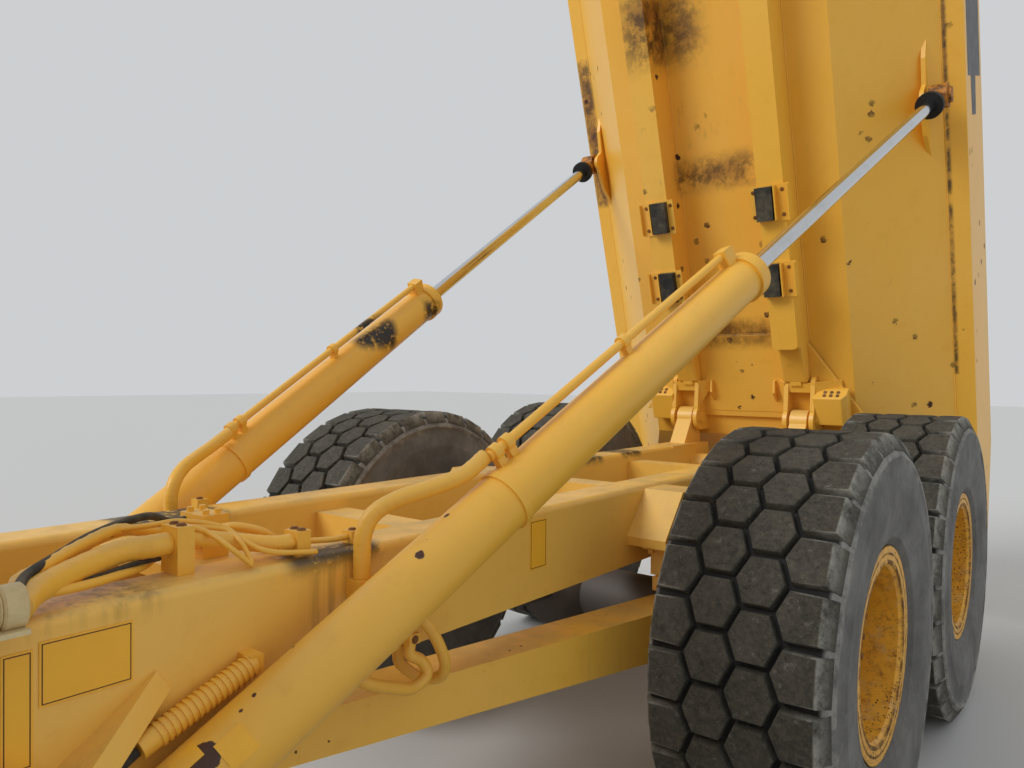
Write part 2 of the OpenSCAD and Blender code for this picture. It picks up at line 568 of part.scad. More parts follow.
// Hoist cylinders
pipe_x = barrel_r + 42;
module hoist_barrel() {
  difference() {
    union() {
      between(hoist_base, eye_up) {
        translate([0, 0, 70]) cylinder(h = 96, r = 46);
        translate([0, 0, 155]) cylinder(h = barrel_len - 155, r = barrel_r);
        translate([0, 0, 1200]) cylinder(h = 26, r = barrel_r + 6);
        translate([0, 0, barrel_len - 60]) cylinder(h = 60, r = 96);
        rotate([0, 0, 170]) {
          // Feed pipe on the barrel, its clamps and the port at the gland
          translate([pipe_x, 0, 1240]) cylinder(h = barrel_len - 1300, r = 15);
          for (z = [1250, 1300, 1900]) {
            translate([pipe_x, 0, z]) cylinder(h = 28, r = 24);
            translate([barrel_r - 6, -14, z]) cube([pipe_x - barrel_r, 28, 28]);
          }
          translate([barrel_r - 10, -26, barrel_len - 115]) cube([pipe_x - barrel_r + 30, 52, 62]);
        }
      }
      cylx(hoist_base[0] - 40, hoist_base[0] + 40, hoist_base[1], hoist_base[2], 88);
    }
    between(hoist_base, eye_up) translate([0, 0, 300]) cylinder(h = barrel_len, r = rod_r + run);
    translate(hoist_base) rotate([0, 90, 0]) sphere(r = 58 + ball_gap);
  }
}
module hoist_rod() {
  between(hoist_base, eye_up) {
    translate([0, 0, 2530]) cylinder(h = hoist_len - 2530 - 40, r = rod_r);
    translate([0, 0, hoist_len - 190]) cylinder(h = 30, r = 75);
    translate([0, 0, hoist_len - 150]) cylinder(h = 110, r = 48);
  }
  cylx(eye_up[0] - 48, eye_up[0] + 48, eye_up[1], eye_up[2], 70);
  cylx(eye_up[0] + 48, eye_up[0] + 66, eye_up[1], eye_up[2], 45);
  intersection() {
    cylx(1100, eye_up[0] - 48, eye_up[1], eye_up[2], 36);
    translate(eye_up) sphere(r = eye_up[0] - 1124 - face_gap);
  }
}
module hoist_barrel_left() color("goldenrod") placed() hoist_barrel();
module hoist_barrel_right() color("goldenrod") placed() mirror([1, 0, 0]) hoist_barrel();
module hoist_rod_left() color("silver") placed() hoist_rod();
module hoist_rod_right() color("silver") placed() mirror([1, 0, 0]) hoist_rod();

// Hoses: a smooth route through points chosen by hand, swept with eight sides
function curve(a, b, c, d, t) = 0.5 * (2 * b + (c - a) * t + (2 * a - 5 * b + 4 * c - d) * t * t
  + (3 * b - a - 3 * c + d) * t * t * t);
function route(p, n) = [for (i = [0:len(p) - 2], k = [0:n - 1])
  curve(p[max(i - 1, 0)], p[i], p[i + 1], p[min(i + 2, len(p) - 1)], k / n), p[len(p) - 1]];
module hose(p, d, up = [0, 0, 1], n = 3) {
  c = route(p, n);
  last = len(c) - 1;
  // The end rings stand square to the first and last stretch, so they meet their fittings face to face
  dir = [for (i = [0:last]) let (v = i == 0 ? p[1] - p[0] : i == last ? p[len(p) - 1] - p[len(p) - 2]
    : c[i + 1] - c[i - 1]) v / norm(v)];
  side = [for (v = dir) cross(v, up) / norm(cross(v, up))];
  rings = [for (i = [0:last], k = [0:7]) c[i] + d / 2 * (cos(45 * k) * side[i] + sin(45 * k) * cross(side[i], dir[i]))];
  polyhedron(rings, concat([[for (k = [7:-1:0]) k]], [[for (k = [0:7]) last * 8 + k]],
    [for (i = [0:last - 1], k = [0:7]) [i * 8 + k, i * 8 + (k + 1) % 8, (i + 1) * 8 + (k + 1) % 8, (i + 1) * 8 + k]]));
}
sleeve_end = -2402;
// Each route: from the sleeve over the left rail to its fitting
hose_thick = [[517, sleeve_end, 1356], [517, -2352, 1356], [450, -2284, 1370], [376, -2210, 1384], [346, -2140, 1384],
  [345, -2120, 1382], [345, -2090.8, 1382]];
hose_tube = [[345, -2049.2, 1382], [345, -2020, 1382], [362, -1930, 1362], [388, -1860, 1348], [400, -1830, 1346],
  [400, -1800.8, 1346]];
hose_black = [[516, sleeve_end, 1416], [516, -2352, 1416], [420, -2290, 1440], [300, -2180, 1456], [170, -2050, 1426],
  [66, -1946, 1376], [66, -1902.8, 1376]];
hose_ribbed = [[478, sleeve_end, 1398], [478, -2352, 1398], [392, -2290, 1410], [280, -2190, 1414], [184, -2080, 1388],
  [108, -1946, 1350], [108, -1902.8, 1350]];
hose_thin = [[555, sleeve_end, 1392], [555, -2356, 1392], [505, -2280, 1348], [420, -2200, 1334], [330, -2140, 1332],
  [240, -2060, 1334], [144, -1950, 1318], [144, -1902.8, 1318]];
hose_arch = [[160.8, -1886, 1366], [200, -1886, 1366], [252, -1860, 1374], [284, -1800, 1352], [281, -1750, 1310],
  [281, -1736, 1290], [281, -1736, 1255.3]];
hose_lift = [[500, -1652, 1240.3], [500, -1652, 1300], [502, -1650, 1352], [513, -1628, 1404], [548, -1576, 1442],
  [600, -1496, 1470], [640.6, -1414.8, 1500.5], [651.8, -1339.2, 1545.3]];
hose_loop_front = [[490, -1740.7, 1020], [490, -1704, 1020], [508, -1650, 968], [512, -1560, 926], [512, -1480, 900],
  [512, -1424, 922], [502, -1436, 962], [492, -1470, 986], [492, -1470, 1018.7]];
hose_loop_rear = [[490, -1534.7, 1130], [490, -1496, 1130], [526, -1428, 1058], [536, -1376, 955], [502, -1358, 894],
  [440, -1378, 882], [404, -1420, 922], [400, -1432, 958], [400, -1432, 999.7]];
pipe_cross = [[160.8, -1862, 1350], [200, -1862, 1350], [320, -1856, 1335], [348, -1800, 1330], [356, -1740, 1330],
  [380, -1700, 1330], [400, -1660, 1330], [400, -1620.8, 1330]];
module hoses() color("dimgray") placed() {
  hose(hose_black, 28);
  hose([[504, yoke_y + 22.7, 934], [504, -2440, 934], [504, -2380, 942], [504, -2300, 976], [504, -2238, 1010]], 26);
}
module painted_hoses() color("goldenrod") placed() {
  hose(hose_thick, 56);
  hose(hose_tube, 44);
  hose(hose_ribbed, 34);
  hose(hose_thin, 22);
  hose(hose_arch, 24, [0, 1, 0]);
  hose(pipe_cross, 16);
  pair() {
    hose(hose_lift, 48, [1, 0, 0]);
    hose(hose_loop_front, 36, [1, 0, 0]);
    hose(hose_loop_rear, 36, [1, 1, 0], 4);
  }
}
module fluid_blocks() color("goldenrod") placed() {
  bx(308, 384, -2090.5, -2049.5, rail_top + seat_gap, 1422);
  bx(372, 428, -1800.5, -1760, rail_top + seat_gap, 1374);
  bx(40, 160.5, -1902.5, -1830, 1280 + seat_gap, 1395);
  bx(262, rail_in - seat_gap, -1756, -1716, 1215, 1255);
  for (x = [60, 140], y = [-1885, -1850]) cylz(x, y, 1394, 1408, 9);
  pair() {
    bx(380, 420, -1620.5, -1583, rail_top + seat_gap, 1346);
    bx(rail_out + seat_gap, 527, -1681, -1624, 1190, 1240);
    for (p = [[-1775, -1741, 1000, 1040], [-1490, -1450, 1019, 1048], [-1572, -1535, 1110, 1150]])
      bx(rail_out + seat_gap, 511, p[0], p[1], p[2], p[3]);
  }
}
module hose_guard() color("dimgray") placed() {
  between([504, -2234, 1012], [504, -1972, 1112]) {
    cylinder(h = 280, r = 25);
    for (z = [40:14:272]) translate([0, 0, z]) cylinder(h = 8, r = 28);
  }
  bx(rail_out + seat_gap, 522, -1992, -1958, 1092, 1134);
}
module hose_sleeve() color("wheat") placed() {
  cyly(515, sleeve_end - 210, sleeve_end - 110, 1378, 64);
  cyly(515, sleeve_end - 112, sleeve_end - 98, 1378, 56);
  cyly(515, sleeve_end - 100, sleeve_end - 6, 1378, 64);
  bx(420, 560, yoke_y + 5, sleeve_end - 45, rail_top + seat_gap, 1322);
  for (p = [[517, 1356, 30], [516, 1416, 16], [478, 1398, 19], [555, 1392, 13]])
    cyly(p[0], sleeve_end - 8, sleeve_end - 0.3, p[1], p[2]);
}
// Blank plates: inner station, outer station, low edge and high edge on the left rail
rail_plates = [[-2404, -2230, 1142, 1266], [-2467, -2414, 1035, 1256], [-889, -795, 1106, 1275]];
module label_plates() color("wheat") placed()
  for (p = rail_plates) bx(rail_out + seat_gap, rail_out + 2.3, p[0], p[1], p[2], p[3]);
module on_barrel(t, a, w, h, turn) between(hoist_base, eye_up) rotate([0, 0, a]) intersection() {
  translate([0, 0, t - 60]) difference() {
    cylinder(h = 120, r = barrel_r + 1.8);
    translate([0, 0, -1]) cylinder(h = 122, r = barrel_r + seat_gap);
  }
  translate([barrel_r, 0, t]) rotate([turn, 0, 0]) cube([60, w, h], center = true);
}
module barrel_plates() color("wheat") placed() {
  on_barrel(318, -126, 64, 64, 0);
  on_barrel(236, -165, 50, 60, 0);
}
module tail_lamps() color("firebrick") placed() pair() {
  bx(rail_out + seat_gap, 560, 2150, 2180, 1090, 1150);
  bx(540, 760, 2170, 2235, 1060, 1180);
}

tyre_front_left();
tyre_front_right();
tyre_middle_left();
tyre_middle_right();
tyre_rear_left();
tyre_rear_right();
rim_front_left();
rim_front_right();
rim_middle_left();
rim_middle_right();
rim_rear_left();
rim_rear_right();
front_frame();
front_axle();
engine();
radiator();
front_bumper();
front_mudguards();
access_steps();
tanks();
cab_shell();
cab_roof();
cab_glass();
cab_door();
door_glass();
seat();
dashboard();
hood();
grille();
head_lamps();
exhaust_stack();
mirrors();
handrails();
hitch();
steer_barrels();
steer_rod_left();
steer_rod_right();
rear_frame();
rear_axles();
bogie_beams();
spring_mounts();
a_stays();
drive_shafts();
bed_shell();
bed_rails();
bed_pads();
hoist_barrel_left();
hoist_barrel_right();
hoist_rod_left();
hoist_rod_right();
hoses();
painted_hoses();
fluid_blocks();
hose_guard();
hose_sleeve();
label_plates();
barrel_plates();
tail_lamps();
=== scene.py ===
# %% [markdown]
# An articulated dump truck with its bed raised, dressed in Blender.
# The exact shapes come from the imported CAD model. This script adds what the eye expects on a working
# machine: worn yellow paint, dusty block tyres, bolts, weld beads, round hoses, lamps and glass.

# %% Load the frame
import math
import bmesh
import bpy
from mathutils import Matrix, Vector
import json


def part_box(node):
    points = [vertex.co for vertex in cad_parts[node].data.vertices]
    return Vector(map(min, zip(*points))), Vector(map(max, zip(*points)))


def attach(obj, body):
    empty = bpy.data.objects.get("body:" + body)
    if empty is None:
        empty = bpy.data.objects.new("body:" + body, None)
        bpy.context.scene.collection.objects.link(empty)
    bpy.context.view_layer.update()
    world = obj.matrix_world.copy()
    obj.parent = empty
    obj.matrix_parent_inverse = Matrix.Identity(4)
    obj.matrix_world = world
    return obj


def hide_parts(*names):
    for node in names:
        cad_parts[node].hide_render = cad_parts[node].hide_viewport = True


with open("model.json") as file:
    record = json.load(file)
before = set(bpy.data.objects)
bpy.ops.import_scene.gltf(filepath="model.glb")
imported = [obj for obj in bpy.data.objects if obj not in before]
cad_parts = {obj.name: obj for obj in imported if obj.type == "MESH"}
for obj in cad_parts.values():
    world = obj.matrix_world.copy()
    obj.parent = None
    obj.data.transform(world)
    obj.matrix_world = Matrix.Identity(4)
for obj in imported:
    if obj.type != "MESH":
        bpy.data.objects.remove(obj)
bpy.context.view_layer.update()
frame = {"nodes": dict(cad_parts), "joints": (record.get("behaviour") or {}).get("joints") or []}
nodes = frame["nodes"]
joints = {joint["name"]: joint for joint in frame["joints"]}

# %% [markdown]
# The main stations are read from the frame, so that a piece added here follows the CAD when it changes.
# Lengths are in metres. X runs to the machine's left, Y to its rear and Z up.

# %% Stations
WHEELS = ["front_left", "front_right", "middle_left", "middle_right", "rear_left", "rear_right"]
wheel_centre = {w: Vector(joints["spin_" + w]["pos_m"]) for w in WHEELS}
tyre_low, tyre_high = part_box("tyre_middle_left")
TYRE_R = (tyre_high.z - tyre_low.z) / 2
TYRE_W = tyre_high.x - tyre_low.x
RIM_R = 0.381
SHIFT = wheel_centre["middle_left"].y
HINGE = Vector(joints["bed_tilt"]["pos_m"])
TILT = math.radians(joints["bed_tilt"]["range_deg"][1])
TURN = Matrix.Rotation(-TILT, 4, "X")
SIDES = ("left", "right")
BASE = {side: Vector(joints["hoist_swing_" + side]["pos_m"]) for side in SIDES}
HOIST_DIR = {side: -Vector(joints["hoist_slide_" + side]["axis"]).normalized() for side in SIDES}


def station(x, y, z):
    """A point given in millimetres from the front bogie axle, as in the part's source, in metres here."""
    return Vector((x / 1000, y / 1000 + SHIFT, z / 1000))


HOIST_LEN = (station(1186, 2050, 3415) - BASE["left"]).length


def raised(p):
    """A point of the lowered bed, moved to where it is with the bed raised."""
    return HINGE + TURN @ (p - HINGE)


print("tyre radius", round(TYRE_R, 3), "width", round(TYRE_W, 3), "bogie station", round(SHIFT, 3))


# %% [markdown]
# Colours are written as they look on the screen and turned into the linear values that shaders use.

# %% Colours
def tone(r, g, b):
    linear = [c / 12.92 if c <= 0.04045 else ((c + 0.055) / 1.055) ** 2.4 for c in (r, g, b)]
    return (*linear, 1.0)


YELLOW = tone(0.95, 0.715, 0.23)
YELLOW_FADED = tone(0.95, 0.76, 0.38)
YELLOW_DEEP = tone(0.87, 0.63, 0.15)
DUST = tone(0.62, 0.57, 0.45)
MUD = tone(0.33, 0.27, 0.18)
RUST = tone(0.28, 0.15, 0.07)
RUBBER = tone(0.20, 0.19, 0.165)

# %% [markdown]
# Wear is used by many finishes, so it is built once as shader node groups: specks for chips and rust
# spots, streaks for dirt that rain carried down, and a dust mask for faces that look up.
# Each reads Object coordinates, so a pattern stays on its piece when the piece moves.


# %% Group helpers
def new_group(name, inputs, outputs):
    group = bpy.data.node_groups.new(name, "ShaderNodeTree")
    for label, value in inputs:
        socket = group.interface.new_socket(label, in_out="INPUT", socket_type="NodeSocketFloat")
        socket.default_value = value
    for label in outputs:
        group.interface.new_socket(label, in_out="OUTPUT", socket_type="NodeSocketFloat")
    return group, group.nodes.new("NodeGroupInput"), group.nodes.new("NodeGroupOutput")


def link(tree, a, b):
    tree.links.new(a, b)


def feed(tree, value, socket):
    """Sets a plain value, or links another node's output."""
    if isinstance(value, bpy.types.NodeSocket):
        link(tree, value, socket)
    else:
        socket.default_value = value


def object_coords(tree):
    return tree.nodes.new("ShaderNodeTexCoord").outputs["Object"]


def split_xyz(tree, vector):
    parts = tree.nodes.new("ShaderNodeSeparateXYZ")
    link(tree, vector, parts.inputs[0])
    return parts.outputs


def mapped_noise(tree, scale=5.0, detail=4.0, rough=0.6, stretch=(1, 1, 1)):
    """Noise on Object coordinates, stretched where a pattern runs one way."""
    mapping = tree.nodes.new("ShaderNodeMapping")
    mapping.inputs["Scale"].default_value = stretch
    noise = tree.nodes.new("ShaderNodeTexNoise")
    noise.inputs["Detail"].default_value = detail
    noise.inputs["Roughness"].default_value = rough
    feed(tree, scale, noise.inputs["Scale"])
    link(tree, object_coords(tree), mapping.inputs["Vector"])
    link(tree, mapping.outputs["Vector"], noise.inputs["Vector"])
    return noise.outputs["Fac"]


def steps(tree, value, low, high):
    """Turns a value into a mask that rises from 0 at low to 1 at high."""
    node = tree.nodes.new("ShaderNodeMapRange")
    node.interpolation_type = "SMOOTHSTEP"
    link(tree, value, node.inputs["Value"])
    feed(tree, low, node.inputs["From Min"])
    feed(tree, high, node.inputs["From Max"])
    return node.outputs["Result"]


def patches(tree, low, high, scale, detail=4.0, rough=0.6):
    """A mask of blotches: noise, cut off softly between low and high."""
    return steps(tree, mapped_noise(tree, scale, detail, rough), low, high)


def math_node(tree, kind, a, b=None):
    node = tree.nodes.new("ShaderNodeMath")
    node.operation = kind
    feed(tree, a, node.inputs[0])
    if b is not None:
        feed(tree, b, node.inputs[1])
    return node.outputs[0]


def times(tree, a, b):
    return math_node(tree, "MULTIPLY", a, b)


def inverse(tree, mask):
    return math_node(tree, "SUBTRACT", 1.0, mask)


def merge(tree, kind, masks):
    """Joins several masks into one, or gives None when there are none."""
    whole = None
    for mask in masks:
        whole = mask if whole is None else math_node(tree, kind, whole, mask)
    return whole


# %% Wear groups
def build_specks():
    """Small chips: round cells whose edge is broken by noise, only where a slow noise lets them be."""
    group, gin, gout = new_group("specks", [("Size", 18.0), ("Amount", 0.2)], ["Mask"])
    cells = group.nodes.new("ShaderNodeTexVoronoi")
    cells.feature = "F1"
    link(group, object_coords(group), cells.inputs["Vector"])
    link(group, gin.outputs["Size"], cells.inputs["Scale"])
    ragged = times(group, mapped_noise(group, scale=60, detail=3), 0.28)
    near = math_node(group, "ADD", cells.outputs["Distance"], ragged)
    reach = times(group, gin.outputs["Amount"], 0.9)
    edge = math_node(group, "ADD", reach, 0.03)
    dot = inverse(group, steps(group, near, reach, edge))
    gate = patches(group, 0.50, 0.62, scale=1.7, detail=5)
    link(group, times(group, dot, gate), gout.inputs["Mask"])
    return group


def build_streaks():
    """Dirt that ran down: noise squeezed along X and Y and long along Z."""
    group, gin, gout = new_group("streaks", [("Width", 26.0), ("Cover", 0.5)], ["Mask"])
    fine = mapped_noise(group, gin.outputs["Width"], detail=6, stretch=(1, 1, 0.05))
    slow = mapped_noise(group, scale=1.3, detail=4)
    both = math_node(group, "ADD", times(group, fine, 0.6), times(group, slow, 0.5))
    start = math_node(group, "SUBTRACT", 0.86, times(group, gin.outputs["Cover"], 0.42))
    end = math_node(group, "ADD", start, 0.22)
    link(group, steps(group, both, start, end), gout.inputs["Mask"])
    return group


def build_dust():
    """Dust lies on faces that look up, thicker where a slow noise says so."""
    group, gin, gout = new_group("dust", [("Amount", 0.5)], ["Mask"])
    geometry = group.nodes.new("ShaderNodeNewGeometry")
    up = steps(group, split_xyz(group, geometry.outputs["Normal"])["Z"], 0.35, 0.95)
    patchy = patches(group, 0.32, 0.68, scale=3.5, detail=7, rough=0.65)
    both = times(group, up, patchy)
    link(group, times(group, both, gin.outputs["Amount"]), gout.inputs["Mask"])
    return group


SPECKS = build_specks()
STREAKS = build_streaks()
DUSTY = build_dust()
print("wear groups", SPECKS.name, STREAKS.name, DUSTY.name)


# %% [markdown]
# A material starts from one base colour, and each layer of wear is mixed over it by its mask. The same
# masks raise the roughness, and a fine noise gives the paint its orange-peel bump.


# %% Material helpers
def start_material(name, base, rough=0.5, metal=0.0):
    mat = bpy.data.materials.new(name)
    mat.use_nodes = True
    tree = mat.node_tree
    shader = tree.nodes["Principled BSDF"]
    shader.inputs["Base Color"].default_value = base
    shader.inputs["Roughness"].default_value = rough
    shader.inputs["Metallic"].default_value = metal
    mat.diffuse_color = base
    return mat, tree, shader


def use_group(tree, group, **values):
    node = tree.nodes.new("ShaderNodeGroup")
    node.node_tree = group
    for key, v in values.items():
        node.inputs[key].default_value = v
    return node.outputs["Mask"]


def layer(tree, under, over, mask, share=1.0):
    """Puts a colour, or a share of it, over another where the mask is white."""
    mix = tree.nodes.new("ShaderNodeMix")
    mix.data_type = "RGBA"
    if share != 1.0:
        mask = times(tree, mask, share)
    link(tree, mask, mix.inputs["Factor"])
    feed(tree, under, mix.inputs[6])
    feed(tree, over, mix.inputs[7])
    return mix.outputs[2]


def blend_value(tree, low, high, mask):
    mix = tree.nodes.new("ShaderNodeMix")
    mix.data_type = "FLOAT"
    link(tree, mask, mix.inputs["Factor"])
    feed(tree, low, mix.inputs[2])
    feed(tree, high, mix.inputs[3])
    return mix.outputs[0]


def bump(tree, shader, height, strength=0.3, distance=0.002):
    node = tree.nodes.new("ShaderNodeBump")
    node.inputs["Strength"].default_value = strength
    node.inputs["Distance"].default_value = distance
    link(tree, height, node.inputs["Height"])
    link(tree, node.outputs["Normal"], shader.inputs["Normal"])


def box_mask(tree, low, high, soft=0.03, on_bed=False):
    """A mask of a box, with soft sides. A box on the bed is given as it lies with the bed down."""
    where = object_coords(tree)
    if on_bed:
        turned = tree.nodes.new("ShaderNodeMapping")
        turned.inputs["Rotation"].default_value = (TILT, 0, 0)
        turned.inputs["Location"].default_value = HINGE - Matrix.Rotation(TILT, 3, "X") @ HINGE
        link(tree, where, turned.inputs["Vector"])
        where = turned.outputs["Vector"]
    parts = split_xyz(tree, where)
    sides = []
    for axis, a, b in zip("XYZ", low, high):
        rise = steps(tree, parts[axis], a - soft, a + soft)
        fall = inverse(tree, steps(tree, parts[axis], b - soft, b + soft))
        sides.append(times(tree, rise, fall))
    return merge(tree, "MULTIPLY", sides)


# %% [markdown]
# The yellow paint is on nearly every piece, in several states of wear. One function makes them all, and
# its numbers say how many chips, how much dirt and how much dust a piece has.


# %% Yellow paint
def blotches(tree, colour, layers):
    """Lays blotches over a colour. Each has its tone, its share and the numbers of its noise mask."""
    for over, share, low, high, scale, detail, rough in layers:
        colour = layer(tree, colour, over, patches(tree, low, high, scale, detail, rough), share)
    return colour


def spot_mask(tree, spots):
    """Round chips at given points of the Object coordinates, each with a ragged edge."""
    where = object_coords(tree)
    ragged = times(tree, mapped_noise(tree, scale=70, detail=3), 0.012)
    masks = []
    for point, radius in spots:
        away = tree.nodes.new("ShaderNodeVectorMath")
        away.operation = "DISTANCE"
        link(tree, where, away.inputs[0])
        away.inputs[1].default_value = point
        near = math_node(tree, "ADD", away.outputs["Value"], ragged)
        masks.append(inverse(tree, steps(tree, near, radius + 0.004, radius + 0.007)))
    return merge(tree, "MAXIMUM", masks)


def yellow_paint(name, chips=0.2, dirt=0.4, dust=0.4, base=YELLOW, ground=0.0, wear=(), grease=(),
                 chip_size=18.0, spots=(), bed_rust=()):
    """Wear and grease are boxes, spots are points with a radius, and ground is how high the mud reaches."""
    mat, tree, shader = start_material(name, base, 0.42)
    colour = blotches(tree, base, [
        (YELLOW_FADED, 0.45, 0.3, 0.75, 0.9, 3, 0.6),
        (YELLOW_DEEP, 0.5, 0.5, 0.9, 14, 6, 0.7),
    ])
    streaks = use_group(tree, STREAKS, Width=26.0, Cover=dirt)
    colour = layer(tree, colour, MUD, streaks, 0.6)
    dusty = use_group(tree, DUSTY, Amount=dust)
    colour = layer(tree, colour, DUST, dusty)
    if ground:
        low = inverse(tree, steps(tree, split_xyz(tree, object_coords(tree))["Z"], 0.55, ground))
        cover = patches(tree, 0.3, 0.62, scale=6, detail=7, rough=0.7)
        colour = layer(tree, colour, MUD, times(tree, low, cover))
    rubbed = []
    for low, high in wear:
        broken = patches(tree, 0.36, 0.5, scale=22, detail=6, rough=0.75)
        rubbed.append(times(tree, box_mask(tree, low, high), broken))
    worn = merge(tree, "MAXIMUM", rubbed)
    if worn is not None:
        colour = layer(tree, colour, tone(0.13, 0.12, 0.12), worn)
    for low, high in grease:
        mask = box_mask(tree, low, high, 0.05)
        run_down = use_group(tree, STREAKS, Width=40.0, Cover=0.9)
        colour = layer(tree, colour, tone(0.25, 0.17, 0.08), times(tree, mask, run_down))
    for low, high, soft, strength in bed_rust:
        mask = box_mask(tree, low, high, soft, on_bed=True)
        broken = patches(tree, 0.42, 0.58, scale=13, detail=8, rough=0.75)
        halo = patches(tree, 0.3, 0.6, scale=4, detail=6)
        colour = layer(tree, colour, tone(0.55, 0.36, 0.14), times(tree, mask, halo))
        full = times(tree, times(tree, mask, broken), strength)
        colour = layer(tree, colour, tone(0.20, 0.14, 0.09), full)
    if spots:
        colour = layer(tree, colour, RUST, spot_mask(tree, spots))
    dark_marks = use_group(tree, SPECKS, Size=chip_size, Amount=chips)
    colour = layer(tree, colour, RUST, dark_marks)
    link(tree, colour, shader.inputs["Base Color"])
    dull = math_node(tree, "MAXIMUM", math_node(tree, "MAXIMUM", streaks, dusty), dark_marks)
    link(tree, blend_value(tree, 0.38, 0.85, dull), shader.inputs["Roughness"])
    peel = mapped_noise(tree, scale=190, detail=2)
    dents = times(tree, mapped_noise(tree, scale=2.2, detail=2), 6.0)
    height = math_node(tree, "SUBTRACT", math_node(tree, "ADD", peel, dents), times(tree, dark_marks, 1.2))
    bump(tree, shader, height, 0.22, 0.0012)
    return mat


def box_at(x0, x1, y0, y1, z0=1300, z1=1640):
    """A box between stations, as two corners in metres."""
    return tuple(station(x0, y0, z0)), tuple(station(x1, y1, z1))


frame_wear = [box_at(380, 490, -1850, -1560, 1285, 1330)]
frame_wear += [box_at(-490, -280, y0, y1, 1285, 1330)
               for y0, y1 in ((-1900, -1560), (610, 820), (1050, 1270))]
grease_runs = [box_at(-320, -290, -1850, -1540, 1060, 1310), box_at(460, 480, -1800, -1560, 1000, 1290),
               box_at(300, 476, -2480, -2160, 1290, 1330)]
# The larger chips of the near barrel, worked out from where they are seen
barrel_chips = [((0.579, -0.218, 1.150), 0.006), ((0.608, -0.337, 1.087), 0.006),
                ((0.612, -0.370, 1.065), 0.004), ((0.688, 0.075, 1.325), 0.013),
                ((0.663, 0.198, 1.404), 0.009), ((0.620, -0.459, 1.002), 0.034),
                ((0.656, -0.388, 1.013), 0.004)]
barrel_wear = [((-0.80, 1.08, 1.90), (-0.70, 1.32, 2.06)), ((-0.84, 1.55, 2.06), (-0.74, 1.66, 2.16))]
# Rust of the lowered bed: two corners, how soft the sides are and how strong it is
bed_rust = [
    (*box_at(-460, 220, 400, 560, 1560), 0.08, 0.95),
    (*box_at(-460, -60, -640, -260, 1300), 0.12, 0.8),
    (*box_at(-380, 300, 1480, 1640, 1560), 0.05, 0.55),
    (*box_at(345, 395, 1690, 1760, 1480, 1520), 0.015, 1.0),
    (*box_at(1196, 1212, -300, 2000, 2110, 2150), 0.012, 1.0),
    (*box_at(-1300, -1190, -500, 600, 2100, 2170), 0.03, 0.7),
    (*box_at(960, 1060, 900, 1000), 0.05, 0.25),
    (*box_at(1000, 1100, 1250, 1400), 0.04, 0.25),
]
PAINT = {
    # The frame's base is a paler, brighter copy of the yellow: painted light, standing in for the fill
    # light that its sunless sides lack.
    "frame": yellow_paint("paint_frame", 0.16, 0.36, 0.5, base=tone(0.97, 0.76, 0.34), ground=0.75,
                          wear=frame_wear, grease=grease_runs),
    "bed": yellow_paint("paint_bed", 0.3, 0.45, 0.06, chip_size=7.0, bed_rust=bed_rust),
    "inside": yellow_paint("paint_inside", 0.12, 0.4, 0.35),
    "hoist": yellow_paint("paint_hoist", 0.16, 0.22, 0.15, chip_size=14.0, spots=barrel_chips,
                          wear=barrel_wear),
    "stay": yellow_paint("paint_stay", 0.24, 0.5, 0.4, base=tone(0.98, 0.76, 0.28)),
    "hose": yellow_paint("paint_hose", 0.1, 0.3, 0.3),
    "body": yellow_paint("paint_body", 0.05, 0.2, 0.3),
}
print("paints", sorted(PAINT))

# %% [markdown]
# Rubber, iron, chrome, glass and the plates are simpler: one base, one or two layers of dust or rust.


# %% Other finishes
def dusty_finish(name, base, rough, over, amount, metal=0.0, scale=9.0, bump_strength=0.3, fine=80.0):
    mat, tree, shader = start_material(name, base, rough, metal)
    patch = patches(tree, 0.35, 0.75, scale=scale, detail=8, rough=0.7)
    colour = layer(tree, base, over, patch, amount)
    dusty = use_group(tree, DUSTY, Amount=min(1.0, amount))
    colour = layer(tree, colour, DUST, dusty, 0.6)
    link(tree, colour, shader.inputs["Base Color"])
    link(tree, blend_value(tree, rough, min(1.0, rough + 0.25), patch), shader.inputs["Roughness"])
    bump(tree, shader, mapped_noise(tree, scale=fine, detail=4), bump_strength, 0.0015)
    return mat


def tyre_rubber():
    """Worn rubber: dust and earth in blotches, dark where it is clean, pale where the ground rubs it."""
    mat, tree, shader = start_material("tyre_rubber", RUBBER, 0.82)
    colour = blotches(tree, RUBBER, [
        (tone(0.42, 0.39, 0.35), 0.3, 0.38, 0.72, 5, 9, 0.72),
        (tone(0.42, 0.40, 0.33), 0.45, 0.40, 0.62, 55, 10, 0.85),
        (tone(0.12, 0.12, 0.11), 0.55, 0.52, 0.60, 28, 9, 0.85),
        (tone(0.62, 0.61, 0.57), 0.4, 0.56, 0.66, 34, 9, 0.85),
        (tone(0.42, 0.36, 0.27), 0.35, 0.52, 0.75, 2.2, 6, 0.6),
    ])
    rubbed = patches(tree, 0.36, 0.60, scale=9, detail=9, rough=0.8)
    rubbed = times(tree, rubbed, attribute(tree, "worn"))
    colour = layer(tree, colour, tone(0.66, 0.65, 0.61), rubbed, 0.8)
    link(tree, colour, shader.inputs["Base Color"])
    pits = mapped_noise(tree, scale=90, detail=9, rough=0.85)
    bump(tree, shader, pits, 0.9, 0.006)
    return mat


